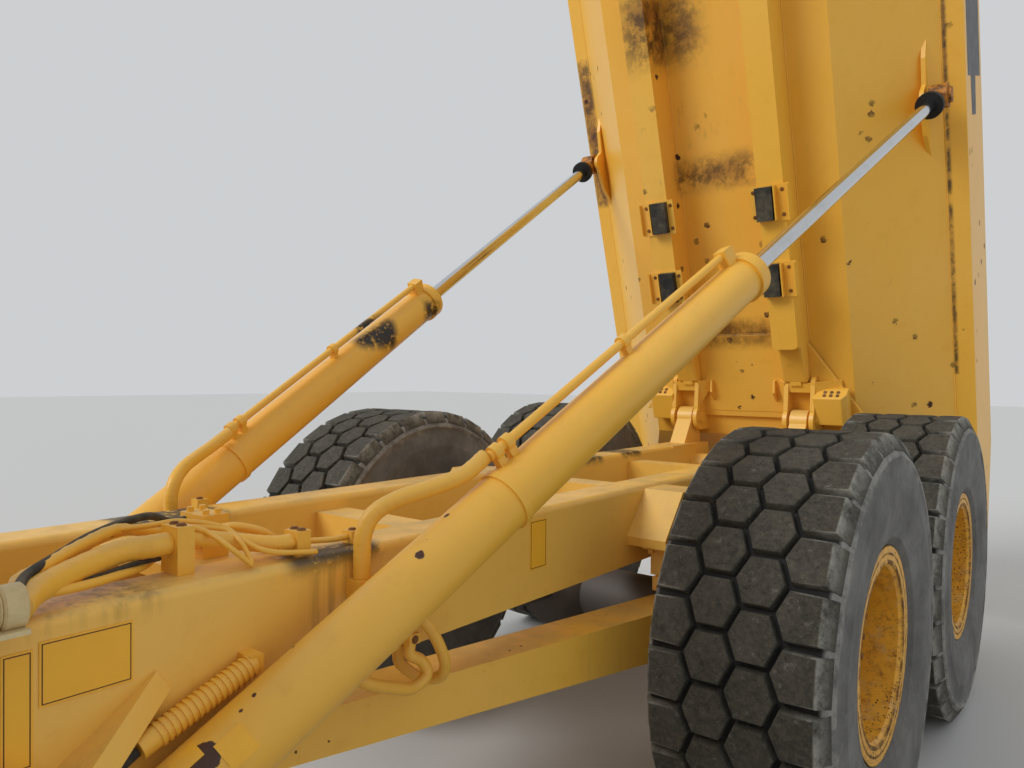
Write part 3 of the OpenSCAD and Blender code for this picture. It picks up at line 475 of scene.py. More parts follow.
def rim_finish():
    """Paint worn by mud and stones. Rust lies in rings, found from the distance to the wheel's middle, and
    the outermost dark ring, at the flange's edge beside the tyre, is painted shadow.
    """
    mat, tree, shader = start_material("rim_paint", YELLOW, 0.55)
    parts = split_xyz(tree, object_coords(tree))
    gaps = [math_node(tree, "ABSOLUTE", math_node(tree, "SUBTRACT", parts["Y"], wheel_centre[wheel].y))
            for wheel in ("front_left", "middle_left", "rear_left")]
    along = merge(tree, "MINIMUM", gaps)
    above = math_node(tree, "SUBTRACT", parts["Z"], wheel_centre["middle_left"].z)
    squares = math_node(tree, "ADD", math_node(tree, "POWER", along, 2.0), times(tree, above, above))
    radius = math_node(tree, "SQRT", squares)
    colour = blotches(tree, YELLOW, [
        (YELLOW_DEEP, 1.0, 0.3, 0.7, 3, 5, 0.6),
        (tone(0.62, 0.38, 0.14), 0.75, 0.46, 0.66, 26, 9, 0.8),
        (tone(0.80, 0.68, 0.46), 0.5, 0.52, 0.66, 11, 8, 0.75),
    ])
    broken = patches(tree, 0.36, 0.56, scale=17, detail=9, rough=0.8)
    rings = []
    # The first ring, at the flange's edge beside the tyre, is painted shadow; the three inside it are rust.
    for middle, width in ((0.388, 0.014), (0.352, 0.007), (0.322, 0.012), (0.25, 0.02)):
        off = math_node(tree, "ABSOLUTE", math_node(tree, "SUBTRACT", radius, middle))
        ring = inverse(tree, math_node(tree, "DIVIDE", off, width))
        rings.append(math_node(tree, "MAXIMUM", ring, 0.0))
    # Rust in the inner rings and painted shadow in the outermost one, broken by noise
    dark_marks = times(tree, steps(tree, merge(tree, "MAXIMUM", rings), 0.1, 0.6), broken)
    colour = layer(tree, colour, tone(0.30, 0.18, 0.09), dark_marks, 0.9)
    chips = use_group(tree, SPECKS, Size=70.0, Amount=0.4)
    fine = patches(tree, 0.60, 0.66, scale=60, detail=8, rough=0.8)
    chips = math_node(tree, "MAXIMUM", chips, fine)
    colour = layer(tree, colour, tone(0.22, 0.12, 0.06), chips)
    link(tree, colour, shader.inputs["Base Color"])
    dull = math_node(tree, "MAXIMUM", chips, dark_marks)
    link(tree, blend_value(tree, 0.45, 0.9, dull), shader.inputs["Roughness"])
    grain = mapped_noise(tree, scale=70, detail=6)
    height = math_node(tree, "SUBTRACT", grain, times(tree, chips, 1.5))
    bump(tree, shader, height, 0.5, 0.002)
    return mat


def attribute(tree, name):
    node = tree.nodes.new("ShaderNodeAttribute")
    node.attribute_name = name
    return node.outputs["Fac"]


def side_rubber():
    """The carcass: grey dusty sidewalls and a black tread floor, told apart by the attribute floor."""
    mat, tree, shader = start_material("side_rubber", RUBBER, 0.78)
    colour = blotches(tree, tone(0.33, 0.325, 0.315), [
        (tone(0.47, 0.465, 0.45), 1.0, 0.3, 0.72, 4, 9, 0.72),
        (tone(0.60, 0.59, 0.56), 0.4, 0.56, 0.72, 18, 7, 0.8),
        (tone(0.42, 0.36, 0.27), 0.4, 0.55, 0.8, 1.8, 6, 0.6),
    ])
    rubbed = patches(tree, 0.38, 0.60, scale=8, detail=9, rough=0.8)
    worn = times(tree, times(tree, attribute(tree, "worn"), rubbed), 0.75)
    colour = layer(tree, colour, tone(0.66, 0.65, 0.62), worn)
    colour = layer(tree, colour, tone(0.09, 0.085, 0.08), attribute(tree, "floor"))
    link(tree, colour, shader.inputs["Base Color"])
    bump(tree, shader, mapped_noise(tree, scale=110, detail=6, rough=0.75), 0.4, 0.002)
    return mat


def plain_glass(name, colour):
    mat, tree, shader = start_material(name, colour, 0.06)
    shader.inputs["Transmission Weight"].default_value = 0.9
    shader.inputs["IOR"].default_value = 1.45
    smear = patches(tree, 0.4, 0.9, scale=2.5, detail=7, rough=0.7)
    link(tree, blend_value(tree, 0.04, 0.22, smear), shader.inputs["Roughness"])
    return mat


def rod_finish(name, eye, along):
    """Chrome up to the black disc, then the painted and rusty eye, told apart along the rod."""
    mat, tree, shader = start_material(name, tone(0.80, 0.81, 0.82), 0.12, 1.0)
    away = tree.nodes.new("ShaderNodeVectorMath")
    away.operation = "SUBTRACT"
    link(tree, object_coords(tree), away.inputs[0])
    away.inputs[1].default_value = eye
    dot = tree.nodes.new("ShaderNodeVectorMath")
    dot.operation = "DOT_PRODUCT"
    link(tree, away.outputs[0], dot.inputs[0])
    dot.inputs[1].default_value = along
    disc = steps(tree, dot.outputs["Value"], -0.1995, -0.1985)
    end = steps(tree, dot.outputs["Value"], -0.1560, -0.1540)
    film = patches(tree, 0.45, 0.8, scale=7, detail=5)
    colour = layer(tree, tone(0.82, 0.83, 0.84), tone(0.66, 0.62, 0.56), film, 0.25)
    colour = layer(tree, colour, tone(0.05, 0.05, 0.05), disc)
    rust = patches(tree, 0.42, 0.62, scale=28, detail=7, rough=0.75)
    eye_colour = layer(tree, tone(0.74, 0.48, 0.14), tone(0.30, 0.17, 0.08), rust)
    colour = layer(tree, colour, eye_colour, end)
    link(tree, colour, shader.inputs["Base Color"])
    link(tree, inverse(tree, disc), shader.inputs["Metallic"])
    link(tree, blend_value(tree, 0.12, 0.6, disc), shader.inputs["Roughness"])
    bump(tree, shader, times(tree, mapped_noise(tree, scale=120, detail=3), disc), 0.3, 0.001)
    return mat


for side in SIDES:
    rod_eye = BASE[side] + HOIST_DIR[side] * HOIST_LEN
    rod_finish("hoist_rod_" + side, rod_eye, HOIST_DIR[side])
rim_finish()
dusty_finish("rod_chrome", tone(0.80, 0.80, 0.79), 0.16, tone(0.62, 0.58, 0.50), 0.18, metal=1.0,
             bump_strength=0.05)
dusty_finish("dark_iron", tone(0.20, 0.165, 0.13), 0.6, tone(0.42, 0.33, 0.22), 0.6, metal=0.2)
dusty_finish("grey_engine", tone(0.40, 0.41, 0.42), 0.55, MUD, 0.4)
dusty_finish("cab_trim", tone(0.2, 0.2, 0.21), 0.7, tone(0.3, 0.29, 0.27), 0.4, fine=260.0)
dusty_finish("plate_amber", tone(0.99, 0.74, 0.18), 0.35, tone(0.94, 0.68, 0.24), 0.35)
dusty_finish("red_lens", tone(0.55, 0.06, 0.05), 0.25, tone(0.3, 0.05, 0.04), 0.4, bump_strength=0.1)
plain_glass("cab_pane", tone(0.72, 0.80, 0.80))
TYRE = tyre_rubber()
SIDE_RUBBER = side_rubber()
BLACK_RUBBER = dusty_finish("black_rubber", tone(0.09, 0.09, 0.09), 0.7, DUST, 0.35)
DARK_PAINT = dusty_finish("dark_paint", tone(0.13, 0.135, 0.14), 0.45, DUST, 0.35)
CLOTH = dusty_finish("seat_cloth", tone(0.17, 0.18, 0.2), 0.9, tone(0.3, 0.3, 0.3), 0.3, fine=420.0)
CREAM = dusty_finish("plate_cream", tone(0.90, 0.82, 0.62), 0.5, tone(0.66, 0.52, 0.3), 0.5)
SIGN_LINE = dusty_finish("sign_line", tone(0.36, 0.2, 0.1), 0.5, MUD, 0.3)
STRIP_GREY = dusty_finish("strip_grey", tone(0.33, 0.34, 0.35), 0.5, tone(0.42, 0.42, 0.41), 0.5)
RUSTY = dusty_finish("rusty_bolts", tone(0.56, 0.36, 0.16), 0.7, RUST, 0.7)
LENS = plain_glass("lamp_lens", tone(0.92, 0.93, 0.92))
print("finishes ready")

# %% [markdown]
# Every CAD node whose shape is right stays and only gets its finish. The table says which.

# %% Finish of each CAD node
FINISH = {
    "paint_frame": ["rear_frame", "front_frame", "hitch", "bogie_beams", "spring_mounts"],
    "paint_bed": ["bed_shell", "bed_rails"],
    "paint_hoist": ["hoist_barrel_left", "hoist_barrel_right", "steer_barrels"],
    "paint_stay": ["a_stays"],
    "paint_hose": ["painted_hoses", "fluid_blocks", "hose_guard"],
    "paint_body": ["hood", "cab_shell", "cab_roof", "cab_door", "handrails", "front_bumper"],
    "rim_paint": ["rim_" + w for w in WHEELS],
    "rod_chrome": ["steer_rod_left", "steer_rod_right"],
    "hoist_rod_left": ["hoist_rod_left"],
    "hoist_rod_right": ["hoist_rod_right"],
    "black_rubber": ["bed_pads", "hoses"],
    "dark_iron": ["front_axle", "rear_axles", "drive_shafts"],
    "grey_engine": ["engine"],
    "dark_paint": ["access_steps", "front_mudguards", "tanks", "exhaust_stack", "mirrors", "grille",
                   "radiator"],
    "cab_trim": ["dashboard"],
    "seat_cloth": ["seat"],
    "plate_cream": ["hose_sleeve"],
    "plate_amber": ["label_plates", "barrel_plates"],
    "lamp_lens": ["head_lamps"],
    "red_lens": ["tail_lamps"],
    "cab_pane": ["cab_glass", "door_glass"],
    "tyre_rubber": ["tyre_" + w for w in WHEELS],
}


def paint(obj, mat):
    if obj.material_slots:
        for slot in obj.material_slots:
            slot.material = mat
    else:
        obj.data.materials.append(mat)


for mat_name, names in FINISH.items():
    for name in names:
        paint(nodes[name], bpy.data.materials[mat_name])
unpainted = sorted(set(nodes) - {n for names in FINISH.values() for n in names})
print("nodes without a finish:", unpainted)

# %% [markdown]
# Geometry Nodes grow whatever repeats. The helper builds an object from a tree, turns the result into a
# plain mesh and lets it ride on a body, so that no modifier is left on it.


# %% Geometry Nodes helper
def new_object(name, data):
    """An object of this data, put into the scene."""
    obj = bpy.data.objects.new(name, data)
    bpy.context.scene.collection.objects.link(obj)
    return obj


def worked_in(obj):
    """A copy of the object's mesh with its modifiers worked in."""
    bpy.context.view_layer.update()
    evaluated = obj.evaluated_get(bpy.context.evaluated_depsgraph_get())
    return bpy.data.meshes.new_from_object(evaluated)


def grow(name, body, material, build, slot=None, **sizes):
    """Builds a tree with the sizes as its inputs and makes a riding piece of what it grows."""
    tree = bpy.data.node_groups.new(name, "GeometryNodeTree")
    tree.interface.new_socket("Geometry", in_out="OUTPUT", socket_type="NodeSocketGeometry")
    ids = {}
    for key, value in sizes.items():
        kind = "NodeSocketInt" if isinstance(value, int) else "NodeSocketFloat"
        socket = tree.interface.new_socket(key, in_out="INPUT", socket_type=kind)
        socket.default_value = value
        ids[key] = socket.identifier
    gin = tree.nodes.new("NodeGroupInput")
    gout = tree.nodes.new("NodeGroupOutput")
    solid = add(tree, "GeometryNodeRealizeInstances", Geometry=build(tree, gin.outputs))
    finish = add(tree, "GeometryNodeSetMaterial", Geometry=solid.outputs["Geometry"], Material=material)
    link(tree, finish.outputs["Geometry"], gout.inputs["Geometry"])
    host = new_object(name + "_host", bpy.data.meshes.new(name + "_host"))
    modifier = host.modifiers.new("grow", "NODES")
    modifier.node_group = tree
    for key, value in sizes.items():
        modifier[ids[key]] = value
    mesh = worked_in(host)
    bpy.data.objects.remove(host)
    piece = new_object(name, mesh)
    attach(piece, body)
    return piece


def add(tree, kind, **values):
    """Adds a node and sets its inputs: a plain value is set, and a socket is linked."""
    node = tree.nodes.new(kind)
    for key, value in values.items():
        feed(tree, value, node.inputs[key.replace("_", " ")])
    return node


def aim(tree, vector, axis, rotation=None, pivot="AUTO"):
    """Turns an axis to a vector, after another turn if one is given."""
    node = tree.nodes.new("FunctionNodeAlignRotationToVector")
    node.axis = axis
    node.pivot_axis = pivot
    feed(tree, vector, node.inputs["Vector"])
    if rotation is not None:
        link(tree, rotation, node.inputs["Rotation"])
    return node.outputs["Rotation"]


# %% Mesh helpers
def mesh_of(name, bm):
    """Makes a mesh of a bmesh, with its faces turned outwards, and frees the bmesh."""
    bmesh.ops.recalc_face_normals(bm, faces=bm.faces)
    mesh = bpy.data.meshes.new(name)
    bm.to_mesh(mesh)
    bm.free()
    return mesh


def mesh_piece(name, bm, material, body, smooth=False):
    """Makes a riding piece of a bmesh."""
    mesh = mesh_of(name, bm)
    if smooth:
        mesh.shade_smooth()
    mesh.materials.append(material)
    piece = new_object(name, mesh)
    if body:
        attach(piece, body)
    return piece


def skin(bm, rings, ends=True, closed=False):
    """Joins rings of points with faces, closes the ends if asked and returns the face of the last ring."""
    last = None
    if ends:
        bm.faces.new(rings[0][::-1])
        last = bm.faces.new(rings[-1])
    pairs = list(zip(rings, rings[1:]))
    if closed:
        pairs.append((rings[-1], rings[0]))
    for one, two in pairs:
        for k in range(len(one)):
            j = (k + 1) % len(one)
            bm.faces.new((one[k], one[j], two[j], two[k]))
    return last


def turns(count, shift=0.0):
    """Angles that divide a full turn, the first one shifted by a part of a step."""
    return [2 * math.pi * (k + shift) / count for k in range(count)]


def soft_box(half_u, half_v, power, angles):
    """Points round a rectangle with rounded corners. The lower the power, the sharper they are."""
    points = []
    for a in angles:
        u, v = (math.copysign(abs(c) ** power, c) for c in (math.cos(a), math.sin(a)))
        points.append((half_u * u, half_v * v))
    return points


def revolve(profile, segments):
    """A closed ring about X from (radius, x) points, as a bmesh."""
    bm = bmesh.new()
    rings = []
    for a in turns(segments):
        rings.append([bm.verts.new((x, r * math.cos(a), r * math.sin(a))) for r, x in profile])
    skin(bm, rings, ends=False, closed=True)
    return bm


# %% [markdown]
# The tyres carry four rows of six-sided blocks whose points reach between the blocks of the next row.
# Two bevelled blocks are modelled, one for the middle rows and one for the shoulders, whose outer side
# slopes down to the sidewall. A node tree sets them round the tyre, every second row half a step on.

# %% Two tread blocks
TREAD = 0.034
BASE_R = TYRE_R - TREAD
BLOCKS = 29
HALF = TYRE_W / 2
BLOCK_LONG = 0.875 * 2 * math.pi * TYRE_R / BLOCKS


def tread_block(name, shoulder):
    """One block with its foot in the carcass. Its place across the tyre is in the mesh."""
    bm = bmesh.new()
    half = BLOCK_LONG / 2
    if shoulder:
        middle = 0.197
        top = [(0.126, 0), (0.160, -half), (0.262, -half * 0.96), (0.262, half * 0.96), (0.160, half)]
        foot = [(0.126, 0), (0.160, -half), (0.288, -half * 0.92), (0.288, half * 0.92), (0.160, half)]
    else:
        middle = 0.068
        top = [(-0.010, 0), (0.024, -half), (0.112, -half), (0.146, 0), (0.112, half), (0.024, half)]
        foot = top
    low = []
    for x, y in foot:
        deep = -0.016 if x < 0.28 else -0.03
        low.append(bm.verts.new((middle + (x - middle) * 1.02, y * 1.02, deep)))
    high = [bm.verts.new((middle + (x - middle) * 0.97, y * 0.97, TREAD - 0.0042)) for x, y in top]
    face = skin(bm, [low, high])
    bmesh.ops.bevel(bm, geom=list(face.edges), offset=0.006, segments=2, profile=0.6, affect="EDGES")
    mesh = mesh_of(name, bm)
    worn = mesh.attributes.new("worn", "FLOAT", "POINT")
    for i, vertex in enumerate(mesh.vertices):
        worn.data[i].value = 1.0 if shoulder and vertex.co.x > 0.255 and vertex.co.z > -0.02 else 0.0
    return new_object(name, mesh)


MIDDLE_BLOCK = tread_block("middle_block", False)
SHOULDER_BLOCK = tread_block("shoulder_block", True)
# Each row: the block, 1 or -1 for its side of the tyre, and whether it is half a step on
ROWS = [(MIDDLE_BLOCK, 1, 0), (MIDDLE_BLOCK, -1, 1), (SHOULDER_BLOCK, 1, 1), (SHOULDER_BLOCK, -1, 0)]
print("block length", round(BLOCK_LONG, 3))


# %% Tread tree
def build_tread(tree, inputs):
    """Rows of blocks round the X axis: each row is a circle of points, turned by half a step or not."""
    join = tree.nodes.new("GeometryNodeJoinGeometry")
    for block, way, odd in ROWS:
        model = add(tree, "GeometryNodeObjectInfo", Object=block, As_Instance=True)
        circle = add(tree, "GeometryNodeMeshCircle", Vertices=inputs["Blocks"], Radius=inputs["Radius"])
        position = tree.nodes.new("GeometryNodeInputPosition")
        outward = aim(tree, position.outputs[0], "Z")
        turned = aim(tree, (0, 0, way), "X", outward, "Z")
        row = add(tree, "GeometryNodeInstanceOnPoints", Points=circle.outputs["Mesh"],
                  Instance=model.outputs["Geometry"], Rotation=turned)
        spun = add(tree, "GeometryNodeTransform", Geometry=row.outputs["Instances"],
                   Rotation=(0, 0, (1 - odd) * math.pi / BLOCKS))
        stood = add(tree, "GeometryNodeTransform", Geometry=spun.outputs["Geometry"],
                    Rotation=(0, math.pi / 2, 0))
        link(tree, stood.outputs["Geometry"], join.inputs["Geometry"])
    return join.outputs["Geometry"]


# %% Tyre carcass
BEAD = RIM_R - 0.0508
# Each profile point is a radius and a distance from the tyre's middle plane
side = [(BEAD, 0.2467), (BEAD + 0.052, 0.2467), (BEAD + 0.058, 0.262), (BEAD + 0.08, 0.272),
        (BEAD + 0.084, 0.278), (BEAD + 0.092, 0.278), (BEAD + 0.096, 0.276), (BEAD + 0.14, 0.289),
        (BEAD + 0.2, HALF - 0.0022), (0.59, HALF - 0.0005), (0.6, HALF), (0.608, HALF),
        (0.612, HALF - 0.003), (0.67, HALF - 0.005), (0.70, HALF - 0.008), (0.704, HALF - 0.003),
        (0.714, HALF - 0.004), (0.719, HALF - 0.010), (BASE_R - 0.014, HALF - 0.018),
        (BASE_R - 0.003, HALF - 0.028), (BASE_R, HALF - 0.040)]
inside = [(BASE_R - 0.022, 0.20), (BASE_R - 0.034, 0.24), (BASE_R - 0.05, 0.262), (0.60, 0.276),
          (0.48, 0.262), (0.385, 0.23), (0.345, 0.206), (BEAD, 0.206)]
profile = side + [(r, -x) for r, x in side[::-1]] + [(r, -x) for r, x in inside[::-1]] + inside
tyre_count = 0
for wheel in WHEELS:
    centre = wheel_centre[wheel]
    carcass_bm = revolve(profile, 96)
    floor_layer = carcass_bm.verts.layers.float.new("floor")
    worn_layer = carcass_bm.verts.layers.float.new("worn")
    for vertex in carcass_bm.verts:
        radius = math.hypot(vertex.co.y, vertex.co.z)
        across = abs(vertex.co.x)
        on_floor = radius > BASE_R - 0.0025 or (radius > BASE_R - 0.05 and across < 0.25)
        on_shoulder = 0.70 < radius < BASE_R - 0.0025 and across > 0.25
        vertex[floor_layer] = 1.0 if on_floor else 0.0
        vertex[worn_layer] = 0.7 if on_shoulder else 0.0
    tread = grow("tread_" + wheel, "wheel_" + wheel, TYRE, build_tread, "tyre", Radius=BASE_R,
                 Blocks=BLOCKS)
    mirror = -1 if wheel.endswith("right") else 1
    tread.data.transform(Matrix.Translation(centre) @ Matrix.Diagonal((mirror, 1, 1, 1)))
    if mirror < 0:
        tread.data.flip_normals()
    bmesh.ops.translate(carcass_bm, vec=centre, verts=carcass_bm.verts)
    carcass = mesh_piece("carcass_" + wheel, carcass_bm, SIDE_RUBBER, "wheel_" + wheel, smooth=True)
    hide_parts("tyre_" + wheel)
    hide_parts("tyre_" + wheel)
    tyre_count += len(tread.data.polygons) + len(carcass.data.polygons)
bpy.data.objects.remove(MIDDLE_BLOCK)
bpy.data.objects.remove(SHOULDER_BLOCK)
print("tyre faces", tyre_count)

# %% [markdown]
# A wheel carries a ring of nuts on studs, and its hub a smaller ring. One tree grows them both.


# %% Nut ring tree
def build_nut_ring(tree, inputs):
    """Six-sided nuts on a circle about X."""
    nut = add(tree, "GeometryNodeMeshCylinder", Vertices=6, Radius=inputs["Size"], Depth=inputs["Height"])
    stud = add(tree, "GeometryNodeMeshCylinder", Vertices=12, Radius=0.011, Depth=0.05)
    pair = tree.nodes.new("GeometryNodeJoinGeometry")
    link(tree, nut.outputs["Mesh"], pair.inputs["Geometry"])
    link(tree, stud.outputs["Mesh"], pair.inputs["Geometry"])
    circle = add(tree, "GeometryNodeMeshCircle", Vertices=inputs["Count"], Radius=inputs["Radius"])
    row = add(tree, "GeometryNodeInstanceOnPoints", Points=circle.outputs["Mesh"],
              Instance=pair.outputs["Geometry"])
    stood = add(tree, "GeometryNodeTransform", Geometry=row.outputs["Instances"],
                Rotation=(0, math.pi / 2, 0))
    return stood.outputs["Geometry"]


# %% Wheel nuts and hub faces
for wheel in WHEELS:
    out = -1 if wheel.endswith("right") else 1
    nuts = grow("nuts_" + wheel, "wheel_" + wheel, RUSTY, build_nut_ring, "yellow_paint",
                Size=0.024, Height=0.024, Radius=0.255, Count=12)
    nuts.data.transform(Matrix.Translation(wheel_centre[wheel] + Vector((out * 0.008, 0, 0))))
    hub = grow("hub_bolts_" + wheel, "wheel_" + wheel, RUSTY, build_nut_ring, "yellow_paint",
               Size=0.014, Height=0.012, Radius=0.14, Count=12)
    hub.data.transform(Matrix.Translation(wheel_centre[wheel] + Vector((out * 0.137, 0, 0))))
print("wheel nuts", 12 * len(WHEELS))

# %% [markdown]
# Bolts hold the pad brackets, the cast hinge blocks, the hose clamps and the bumper. Each is a hex head
# on a washer. Their places and the way they face are kept as points, and one tree sets a head on each.


# %% Bolt tree
def on_bed(x, y, z, dx=0, dy=0, dz=-1):
    """A point and a direction given on the lowered bed, turned to where they are with the bed raised."""
    return raised(station(x, y, z)), TURN @ Vector((dx, dy, dz))


def bolts(name, body, spots, size, height):
    """Hex heads on washers at (point, direction) spots."""
    mesh = bpy.data.meshes.new(name + "_points")
    mesh.from_pydata([tuple(p) for p, way in spots], [], [])
    facing = mesh.attributes.new("facing", "FLOAT_VECTOR", "POINT")
    for i, (p, way) in enumerate(spots):
        facing.data[i].vector = way
    points = new_object(name + "_points", mesh)

    def build(tree, inputs):
        info = add(tree, "GeometryNodeObjectInfo", Object=points)
        head = add(tree, "GeometryNodeMeshCylinder", Vertices=6, Radius=inputs["Size"],
                   Depth=inputs["Height"])
        lift = tree.nodes.new("ShaderNodeCombineXYZ")
        link(tree, times(tree, inputs["Height"], 0.5), lift.inputs["Z"])
        stood = add(tree, "GeometryNodeTransform", Geometry=head.outputs["Mesh"],
                    Translation=lift.outputs[0])
        wide = times(tree, inputs["Size"], 1.45)
        washer = add(tree, "GeometryNodeMeshCylinder", Vertices=20, Radius=wide, Depth=0.006)
        both = tree.nodes.new("GeometryNodeJoinGeometry")
        link(tree, stood.outputs["Geometry"], both.inputs["Geometry"])
        link(tree, washer.outputs["Mesh"], both.inputs["Geometry"])
        way = tree.nodes.new("GeometryNodeInputNamedAttribute")
        way.data_type = "FLOAT_VECTOR"
        way.inputs["Name"].default_value = "facing"
        row = add(tree, "GeometryNodeInstanceOnPoints", Points=info.outputs["Geometry"],
                  Instance=both.outputs["Geometry"], Rotation=aim(tree, way.outputs[0], "Z"))
        return row.outputs["Instances"]

    grow(name, body, RUSTY, build, "yellow_paint", Size=size, Height=height)
    bpy.data.objects.remove(points)


# %% Bolts of the bed, the frame and the bumper
bed_spots = []
for s in (1, -1):
    for y in (-1540, 595, 1060):
        bed_spots += [on_bed(s * x, y + d, 1362) for x in (276, 452) for d in (36, 184)]
    bed_spots += [on_bed(s * x, y, z, 0, -0.78, -0.62)
                  for x in (560, 600, 640) for y, z in ((1944, 1511), (1958, 1486))]
bolts("bed_bolts", "bed", bed_spots, 0.008, 0.006)
up = Vector((0, 0, 1))
frame_spots = [(station(x, y, z), up)
               for x, y, z in ((330, -2070, 1422), (362, -2070, 1422), (385, -1780, 1374),
                               (415, -1780, 1374), (400, -1602, 1346), (-400, -1602, 1346))]
frame_spots += [(station(s * 511, y, z), Vector((s, 0, 0)))
                for s in (1, -1) for y, z in ((-1758, 1020), (-1470, 1033), (-1553, 1130))]
bolts("clamp_bolts", "rear_unit", frame_spots, 0.008, 0.006)
bumper_spots = [(station(s * x, -6928, z), Vector((0, -1, 0)))
                for s in (1, -1) for x in (250, 310) for z in (960, 1120)]
bolts("bumper_bolts", "tractor", bumper_spots, 0.015, 0.011)
print("bolts", len(bed_spots) + len(frame_spots) + len(bumper_spots))

# %% [markdown]
# The bed's shell is made again, because its side walls stand plain and upright in the photograph, 1.305 m
# from the middle, where the CAD shell has a ledge and a rim. A hull section and a side profile are crossed,
# and the same pair, one plate thickness smaller, is taken out.


# %% Crossed profiles
def prism(points, across, low, high):
    """A solid of a flat outline, stretched between two stations of the axis named in across."""
    bm = bmesh.new()
    place = "XYZ".index(across)
    ends = []
    for at in (low, high):
        spots = [(*flat[:place], at, *flat[place:]) for flat in points]
        ends.append([bm.verts.new(station(*spot)) for spot in spots])
    skin(bm, ends)
    return new_object("prism", mesh_of("prism", bm))


def combine(solid, other, kind):
    """Keeps what two solids share, or takes the other away, and gives the first one its new mesh."""
    cut = solid.modifiers.new("cut", "BOOLEAN")
    cut.operation = kind
    cut.solver = "EXACT"
    cut.object = other
    mesh = worked_in(solid)
    solid.modifiers.remove(cut)
    solid.data = mesh
    bpy.data.objects.remove(other)
    return solid


def both_sides(points):
    return points + [(-x, z) for x, z in points[::-1]]


def finish_bed_piece(solid, name, material, bevel=0.004):
    """Breaks the edges, raises the piece with the bed and lets it ride there."""
    soft = solid.modifiers.new("edges", "BEVEL")
    soft.width = bevel
    soft.segments = 2
    soft.limit_method = "ANGLE"
    soft.angle_limit = math.radians(20)
    mesh = worked_in(solid)
    bpy.data.objects.remove(solid)
    mesh.transform(Matrix.Translation(HINGE) @ TURN @ Matrix.Translation(-HINGE))
    mesh.materials.clear()
    mesh.materials.append(material)
    piece = new_object(name, mesh)
    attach(piece, "bed")
    return piece


# %% Bed shell
# Heights of the lowered bed's floor, fold and rim, the wall's place and the plate's thickness, all in mm
FLOOR, FOLD, TOP = 1600, 2130, 2778
WALL_X, PLATE = 1305, 16
hull = prism(both_sides([(715, FLOOR), (1190, FOLD), (WALL_X, 2150), (WALL_X, TOP)]), "Y", -2100, 3381)
side_out = [(-1600, FLOOR), (2300, FLOOR), (3281, FOLD), (3281, 2480), (2700, TOP), (-2060, TOP),
            (-1985, FOLD)]
hull = combine(hull, prism(side_out, "X", -1400, 1400), "INTERSECT")
section_in = [(705, FLOOR + PLATE), (1175, FOLD + PLATE), (WALL_X - PLATE, 2170),
              (WALL_X - PLATE, TOP + 200)]
space = prism(both_sides(section_in), "Y", -2100, 3481)
side_in = [(-1590, FLOOR + PLATE), (2296, FLOOR + PLATE), (3291, 2154), (3291, TOP + 100),
           (-2052, TOP + 100), (-1968, 2138)]
space = combine(space, prism(side_in, "X", -1400, 1400), "INTERSECT")
hull = combine(hull, space, "DIFFERENCE")
shell = finish_bed_piece(hull, "bed_walls", PAINT["bed"])
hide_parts("bed_shell")
# Faces that look into the bed get the plain paint, without the rust of the underside
shell.data.materials.append(PAINT["inside"])
middle = raised(station(0, 300, 2500))
for face in shell.data.polygons:
    face.material_index = 1 if face.normal.dot(middle - face.center) > 0 else 0
guard = prism([(-2060, 2777), (-2350, 3300), (-2330, 3300), (-2040, 2777)], "X", -1304, 1304)
guard = finish_bed_piece(guard, "bed_guard", PAINT["bed"])
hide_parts("bed_shell")
for name, low, high in (("left", 1290, 1304), ("right", -1304, -1290)):
    wing = prism([(-2048, 2760), (-2330, 3290), (-1500, 2760)], "X", low, high)
    wing = finish_bed_piece(wing, "guard_gusset_" + name, PAINT["bed"], 0.002)
    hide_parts("bed_shell")
print("bed shell faces", len(shell.data.polygons))

# %% [markdown]
# Before the hinges lies a thin plate with bright slanted edges. Each rail runs on below its open end as a
# narrower channel, and beside each pair of ears sits a cast block with a sloping top.

# %% Hinge plate, rail tails and cast blocks
plate_outline = [(-414, 1567), (414, 1567), (766, 2111), (-766, 2111)]
tail_side = [(1560, 1432), (1620, 1438), (1884, 1502), (1884, 1574), (1560, 1574)]
block_front = [(494, 1574), (494, 1462), (666, 1462), (694, 1498), (694, 1574)]
block_side = [(1930, 1536), (1930, 1574), (2160, 1574), (2160, 1540), (2150, 1462), (1971, 1462)]
finish_bed_piece(prism(plate_outline, "Z", 1572, 1580), "hinge_plate", PAINT["bed"], 0.003)
for name, s in (("left", 1), ("right", -1)):
    tail = prism(tail_side, "X", *sorted((s * 300, s * 457)))
    finish_bed_piece(tail, "rail_tail_" + name, PAINT["bed"], 0.018)
    block = prism([(s * x, z) for x, z in block_front], "Y", 1900, 2250)
    block = combine(block, prism(block_side, "X", -800, 800), "INTERSECT")
    finish_bed_piece(block, "hinge_block_" + name, PAINT["bed"], 0.005)
print("hinge plate, tails and blocks made")

# %% [markdown]
# Plates meet in weld beads. A bead is a row of small drops along a line, close enough to run together,
# and one tree sets them along any line of points.


